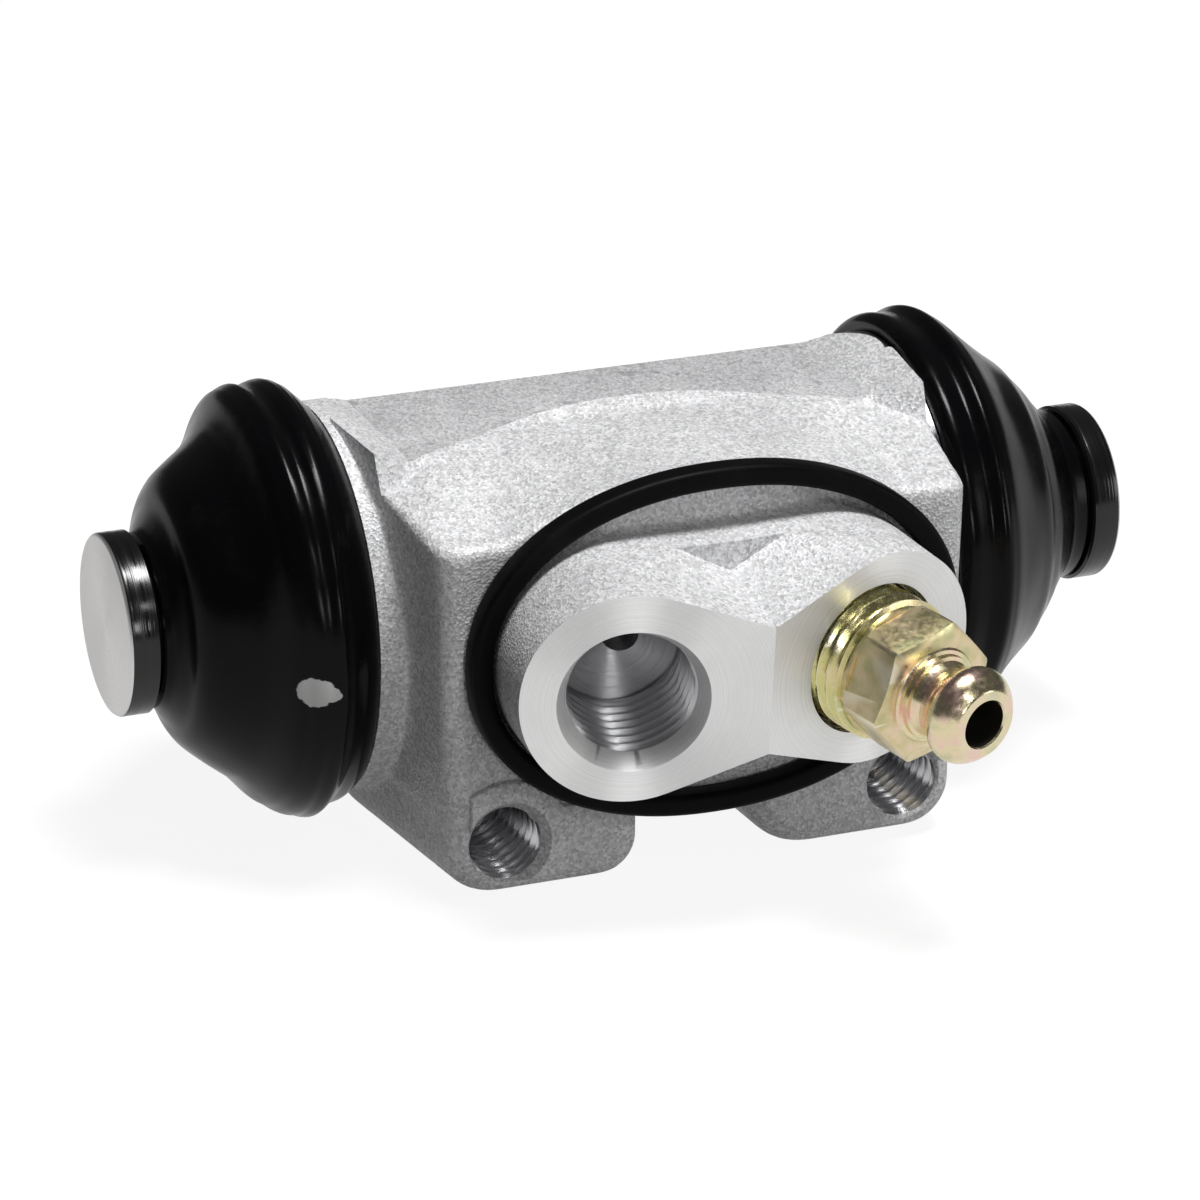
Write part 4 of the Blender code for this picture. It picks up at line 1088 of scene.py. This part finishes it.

# %% [markdown]
# ## Dust boots
# Each boot is a thin rubber bell. Its thick rim snaps into a groove of the housing and its small
# neck into a groove of the piston, and the wall between folds as the piston moves. The two boots in
# the photograph sit a little differently, so each has its own outer line. The inside runs parallel.
# A boot bends between the housing and its piston, so that it stretches and folds with the stroke.

# %% Boots
LEFT_LINE = [
    (21.25, 13.3), (21.4, 13.5), (21.8, 13.8), (22.2, 14.0), (22.7, 14.1), (23.2, 14.25), (23.6, 14.55),
    (24.0, 14.8), (24.4, 14.75), (24.8, 14.6), (25.3, 14.5), (25.8, 14.25), (26.3, 13.85), (26.8, 13.5),
    (27.3, 13.0), (28.0, 12.2), (28.6, 11.6), (29.2, 11.15), (29.9, 10.6), (30.6, 10.0), (31.2, 9.45),
    (31.7, 8.9), (32.1, 8.25), (32.4, 7.45), (32.8, 6.75), (33.2, 6.2), (33.6, 5.95),
]
LEFT_TOP_BULGE = [
    (21.5, 0.0), (22.2, 0.35), (22.7, 0.75), (23.2, 0.9), (23.6, 0.7), (24.0, 0.35), (24.5, 0.2),
    (25.0, 0.3), (25.7, 0.8), (26.2, 1.0), (26.7, 1.1), (27.1, 1.0), (27.6, 0.45), (28.2, 0.1), (29.2, 0.0),
    (30.2, 0.15), (31.2, 0.35), (32.2, 0.3), (33.2, 0.0),
]
RIGHT_LINE = [
    (20.75, 13.5), (20.8, 13.95), (21.2, 14.35), (21.7, 14.5), (22.4, 14.4), (22.9, 14.35), (23.3, 14.5),
    (23.8, 14.75), (24.2, 14.7), (24.7, 14.4), (25.2, 14.05), (26.2, 13.1), (27.2, 12.2), (28.2, 11.4),
    (29.2, 10.65), (29.8, 10.0), (30.7, 9.1), (31.4, 8.2), (32.0, 7.5), (32.6, 6.8), (33.2, 6.3),
    (34.2, 6.0),
]
WALL = 1.25


def boot(side, line):
    """One bell from its outer line. Its inside has the neck's bead, the wall and the rim's bead."""
    outer = smooth_line(line, 4 if FINE else 2)
    shift = PISTONS_ASIDE * side
    inner = [(line[-1][0], 5.4), (32.9 + shift, 5.4), (32.4 + shift, 6.6)]
    folded = [(x - 0.35 * WALL, r - 0.9 * WALL) for x, r in line if 25.2 < x < 31.5]
    inner += smooth_line(list(reversed(folded)), 2)
    inner += [(24.95, 13.0), (24.9, 13.4), (23.0, 13.4), (22.6, 12.4), (21.1, 12.4)]

    def bulge(along, angle):
        """The left boot is pushed up a little, so its upper side bulges."""
        if side > 0 or not LEFT_TOP_BULGE[0][0] < along < LEFT_TOP_BULGE[-1][0]:
            return 0.0
        for (a, low), (b, high) in zip(LEFT_TOP_BULGE, LEFT_TOP_BULGE[1:]):
            if a <= along <= b:
                return (low + (high - low) * (along - a) / (b - a)) * max(0.0, math.cos(angle)) ** 1.5
        return 0.0

    def wrinkle(along, radius, angle):
        """Slow, uneven ripples that fade out at the rim and at the neck."""
        if radius > 13.6 or along > 24.6:
            radius += bulge(along, angle)
        if along < 24.3 or along > 32.5 or radius < 9:
            return radius
        fade = math.sin(math.pi * (along - 24.3) / 8.2)
        height, round_it, lengthways = 0.16, 2.1, 0.35
        at = Vector((math.cos(angle) * round_it, math.sin(angle) * round_it, along * lengthways + side * 7))
        return radius + height * fade * noise.noise(at)

    finish = DABBED_RUBBER if side < 0 else BOOT_RUBBER
    made = lathe("boot", outer + inner, 144 if FINE else 64, finish, ring=True, shape=wrinkle)
    made.name = ("left" if side < 0 else "right") + "_boot_rubber"
    bake_place(made, Matrix.Rotation(math.radians(90) * side, 4, "Y"))
    rest = made.data.attributes.new("rest_place", "FLOAT_VECTOR", "POINT")
    for vertex in made.data.vertices:
        rest.data[vertex.index].vector = vertex.co * MM
    return made


for word, side, line in (("left", -1, LEFT_LINE), ("right", 1, RIGHT_LINE)):
    piece = finish_piece(boot(side, line), None, 50)
    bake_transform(piece)
    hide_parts(word + "_boot")

# %% [markdown]
# ## Pistons
# The pistons are turned, anodised black and then faced, so the end that meets the brake shoe is
# bright. Inside the bore is a wide skirt; outside only the stem shows, with the groove for the boot.

# %% Piston finishes
ANODISED_BLACK = (0.005, 0.005, 0.0055)
FACED_GREY = (0.74, 0.73, 0.72)


def anodised(name, scale):
    """Black, with fine turning marks along the piston's length."""
    made, tree, shader, where = start_finish(name, ANODISED_BLACK, 0.24, 0.1)
    along = add_node(tree, "SeparateXYZ", Vector=where).outputs["X"]
    marks = rings(tree, along, scale, 2.0)
    tree.links.new(between(tree, marks, 0.3, 0.7, 0.12, 0.3), shader.inputs["Roughness"])
    bump(tree, shader, marks, 0.6, 0.00004)
    return made


BLACK_STEM = anodised("black_stem", 2600.0)
FACED_END = machined("faced_piston_end", ALONG_BORE, FACED_GREY, 0.4, 7000.0, 0.3)


# %% Pistons
def piston(word, side):
    """A skirt in the bore, a stem, a groove for the boot's neck, and a faced end with a small bevel."""
    skirt, stem, neck = 10.02, 6.25, 5.1
    faced_from = 36.26
    black = [
        (14.6, 0), (14.6, skirt - 0.5), (15.1, skirt), (23.9, skirt), (24.4, skirt - 0.5), (24.4, stem),
        (32.5, stem), (32.8, stem - 0.3), (32.8, neck), (34.3, neck), (34.3, stem - 0.2), (34.45, stem),
        (36.18, stem), (36.27, stem - 0.03), (36.4, stem - 0.13), (36.46, stem - 0.26), (36.46, 0),
    ]
    made = lathe(word + "_piston_turned", black, 96, BLACK_STEM)
    made.data.materials.append(FACED_END)
    for face in made.data.polygons:
        if min(made.data.vertices[v].co.z for v in face.vertices) > faced_from:
            face.material_index = 1
    aside = Matrix.Translation((PISTONS_ASIDE, 0, 0))
    bake_place(made, aside @ Matrix.Rotation(math.radians(90) * side, 4, "Y"))
    finish_piece(made, word + "_push")
    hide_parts(word + "_piston")


piston("left", -1)
piston("right", 1)

# %% [markdown]
# ## Bleeder screw
# The screw is steel with a yellow chromate over zinc. That film is so thin that it shimmers: gold
# in the main, with patches of pink and green. A few noises choose between those tints, and the
# edges of the hexagon are worn to a paler gold.

# %% Yellow zinc
DEEP_GOLD = (0.58, 0.50, 0.27)
PALE_GOLD = (0.78, 0.68, 0.40)
THREAD_GOLD = (0.62, 0.58, 0.24)
NIPPLE_GOLD = (0.84, 0.73, 0.47)
PINK = (0.88, 0.62, 0.52)
GREEN = (0.50, 0.56, 0.32)
WORN_GOLD = (0.88, 0.80, 0.62)


def yellow_zinc():
    """Thread, hexagon and nipple differ a little, and each is told by its place along the screw."""
    made, tree, shader, where = start_finish("yellow_zinc", (0.6, 0.5, 0.25), 0.24, 1.0)
    along = add_node(tree, "SeparateXYZ", Vector=in_frame(tree, where, BLEEDER)).outputs["Z"]
    tint = grain(tree, where, 620, 3.0).outputs["Fac"]
    fine = grain(tree, where, 2600, 3.0, 0.6).outputs["Fac"]
    gold = mix(tree, between(tree, tint, 0.35, 0.65, 0.0, 1.0), DEEP_GOLD, PALE_GOLD)
    thread = between(tree, along, 1.9 * MM, 2.3 * MM, 1.0, 0.0)
    gold = mix(tree, maths(tree, "MULTIPLY", thread, 0.85), gold, THREAD_GOLD)
    front = between(tree, along, 6.0 * MM, 6.3 * MM, 0.0, 1.0)
    gold = mix(tree, maths(tree, "MULTIPLY", front, 0.9), gold, NIPPLE_GOLD)
    pink = between(tree, tint, 0.48, 0.62, 0.0, 0.75)
    gold = mix(tree, maths(tree, "MULTIPLY", pink, maths(tree, "ADD", front, 0.3)), gold, PINK)
    gold = mix(tree, between(tree, tint, 0.44, 0.32, 0.0, 0.5), gold, GREEN)
    edge = add_node(tree, "NewGeometry").outputs["Pointiness"]
    gold = mix(tree, between(tree, edge, 0.53, 0.6, 0.0, 0.8), gold, WORN_GOLD)
    tree.links.new(gold, shader.inputs["Base Color"])
    behind_thread = maths(tree, "SUBTRACT", 1.0, thread)
    flats = maths(tree, "MULTIPLY", behind_thread, maths(tree, "SUBTRACT", 1.0, front))
    rough = between(tree, fine, 0.3, 0.7, 0.16, 0.32)
    rough = maths(tree, "ADD", rough, maths(tree, "MULTIPLY", flats, 0.12))
    tree.links.new(rough, shader.inputs["Roughness"])
    bump(tree, shader, fine, 0.3, 0.00002)
    return made


ZINC = yellow_zinc()

# %% Bleeder screw
HEX_FROM = 2.2
HEX_TO = 6.1
HEX_FLAT = 4.3
HEX_TURN = math.radians(13.5)
PASSAGE_R = 1.63
PASSAGE_END = 4.0


def screw_body():
    """Cone, thread, shank, then the nipple's rings, bulb and lip, and the passage down its middle."""
    major, minor, pitch = 4.92, 4.45, 0.95
    per_pitch = 10 if FINE else 4
    low, high = -9.2, 1.9
    count = int((high - low) * per_pitch)
    end = HEX_TO + 4.9
    profile = [(-10.9, 0), (-10.9, 1.6), (-10.1, 3.3)]
    profile += [(low + (high - low) * i / count, major) for i in range(count + 1)]
    profile += [(2.05, 4.55), (HEX_FROM + 0.3, 4.55), (HEX_FROM + 0.5, 3.2), (HEX_TO - 0.2, 3.62)]
    profile += [(HEX_TO + 0.02, 3.3), (HEX_TO + 0.16, 3.2), (HEX_TO + 0.22, 2.96), (HEX_TO + 0.55, 2.9),
                (HEX_TO + 0.62, 2.66)]
    line = [
        (HEX_TO + 1.2, 2.45), (end - 3.1, 2.45), (end - 2.75, 2.6), (end - 2.45, 2.95), (end - 2.05, 3.24),
        (end - 1.6, 3.34), (end - 1.15, 3.25), (end - 0.7, 3.0), (end - 0.3, 2.65), (end - 0.06, 2.42),
    ]
    profile += smooth_line(line, 4)
    profile += [(end, 2.32), (end, 1.72), (end - 0.12, PASSAGE_R), (PASSAGE_END, PASSAGE_R),
                (PASSAGE_END, 0)]

    def wall(along, radius, angle):
        if not low <= along <= high or radius != major:
            return radius
        fade = min(1.0, (along - low) / pitch, (high - along) / (0.5 * pitch))
        return minor + (major - minor) * thread_form(along / pitch - angle / (2 * math.pi)) * max(fade, 0.0)

    return lathe("bleeder_screw_plated", profile, 96, ZINC, shape=wall)


def hexagon():
    """A hexagon bar whose corners are turned down at both ends, which leaves the curved edges."""
    corner = HEX_FLAT / math.cos(math.radians(30))
    angles = [HEX_TURN + math.pi * i / 3 for i in range(6)]
    corners = [(corner * math.cos(angle), corner * math.sin(angle)) for angle in angles]
    made = skin("hexagon", [[(u, v, w) for u, v in corners] for w in (HEX_FROM, HEX_TO)], ZINC)
    blunt = corner * 0.985
    rear_rim, rim = HEX_FLAT - 0.05, HEX_FLAT - 0.45
    rear_drop = (blunt - rear_rim) * math.tan(math.radians(42))
    drop = (blunt - rim) * math.tan(math.radians(20))
    profile = [(HEX_FROM - 0.1, 0), (HEX_FROM - 0.1, rear_rim), (HEX_FROM + rear_drop, blunt),
               (HEX_TO - drop, blunt), (HEX_TO, rim), (HEX_TO + 0.1, rim - 0.1), (HEX_TO + 0.1, 0)]
    boolean(made, lathe("turned_down", profile, 128, ZINC), "INTERSECT")
    bevel = made.modifiers.new("worn_edges", "BEVEL")
    bevel.width = 0.09
    bevel.segments = 2
    bevel.limit_method = "ANGLE"
    bevel.angle_limit = math.radians(25)
    return apply(made)


# Painted shade: the faces inside the nipple's passage get a near-black finish, which stands in for the
# shade deep in that narrow hole.
PASSAGE_SHADE = start_finish("screw_passage_painted_shade", (0.03, 0.028, 0.02), 0.5, 0.4)[0]
screw = screw_body()
boolean(screw, hexagon(), "UNION")
screw.data.materials.append(PASSAGE_SHADE)
for face in screw.data.polygons:
    reach = max(math.hypot(*screw.data.vertices[v].co.xy) for v in face.vertices)
    if reach < PASSAGE_R + 0.01 and face.center.z > PASSAGE_END - 0.1:
        face.material_index = len(screw.data.materials) - 1
bake_place(screw, BLEEDER)
finish_piece(screw, "bleeder", 30)
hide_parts("bleeder_screw")

# %% [markdown]
# ## Inside the bore
# Two rubber cups, two pressed expanders and a coil spring are out of sight, and the CAD solids have
# their shape. They keep those solids and get plain finishes of the right kind. The spring is the
# exception: it stretches with both pistons, and it is made anew in two halves that meet in the middle.

# %% Inner finishes and the spring
def brushed(name, colour, roughness):
    """Plain steel with a fine, uneven shine."""
    made, tree, shader, where = start_finish(name, colour, roughness, 1.0)
    fine = grain(tree, where, 1800, 3.0).outputs["Fac"]
    tone = mix(tree, between(tree, fine, 0.3, 0.7, 0.0, 1.0), [c * 0.8 for c in colour], colour)
    tree.links.new(tone, shader.inputs["Base Color"])
    rough = between(tree, fine, 0.3, 0.7, roughness - 0.08, roughness + 0.08)
    tree.links.new(rough, shader.inputs["Roughness"])
    bump(tree, shader, fine, 0.3, 0.00002)
    return made


CUP_RUBBER = rubber("cup_rubber", (0.02, 0.02, 0.02), 0.4, 0.1, 0.00001)[0]
PRESSED = brushed("pressed_steel", (0.55, 0.55, 0.53), 0.32)
WIRE = brushed("spring_wire", (0.36, 0.37, 0.38), 0.3)
for word in ("left", "right"):
    for node, finish in ((word + "_cup", CUP_RUBBER), (word + "_expander", PRESSED)):
        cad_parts[node].data.materials.clear()
        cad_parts[node].data.materials.append(finish)


def spring_half(word, side):
    """A wire round a helix. Its last turn is closed up, so that it sits flat on the expander."""
    radius, wire, turns = 5.25, 0.45, 3.0
    closed_turns, closed_pitch = 0.9, 1.2
    reach = 10.45 + PISTONS_ASIDE * side
    open_turns = turns - closed_turns
    per_turn = 40
    rows = []
    for i in range(int(turns * per_turn) + 1):
        turn = i / per_turn
        if turn < open_turns:
            along = turn / open_turns * (reach - closed_turns * closed_pitch)
        else:
            along = reach - (turns - turn) * closed_pitch
        angle = side * 2 * math.pi * turn
        out = Vector((0, math.cos(angle), math.sin(angle)))
        centre = out * radius + Vector((side * along, 0, 0))
        row = []
        for k in range(10):
            around = 2 * math.pi * k / 10
            row.append(tuple(centre + wire * (out * math.cos(around) + Vector((math.sin(around), 0, 0)))))
        rows.append(row)
    return skin(word + "_half_spring", rows, WIRE)


for word, side in (("left", -1), ("right", 1)):
    piece = finish_piece(spring_half(word, side), None)
    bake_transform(piece)
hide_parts("return_spring")

bpy.context.view_layer.update()
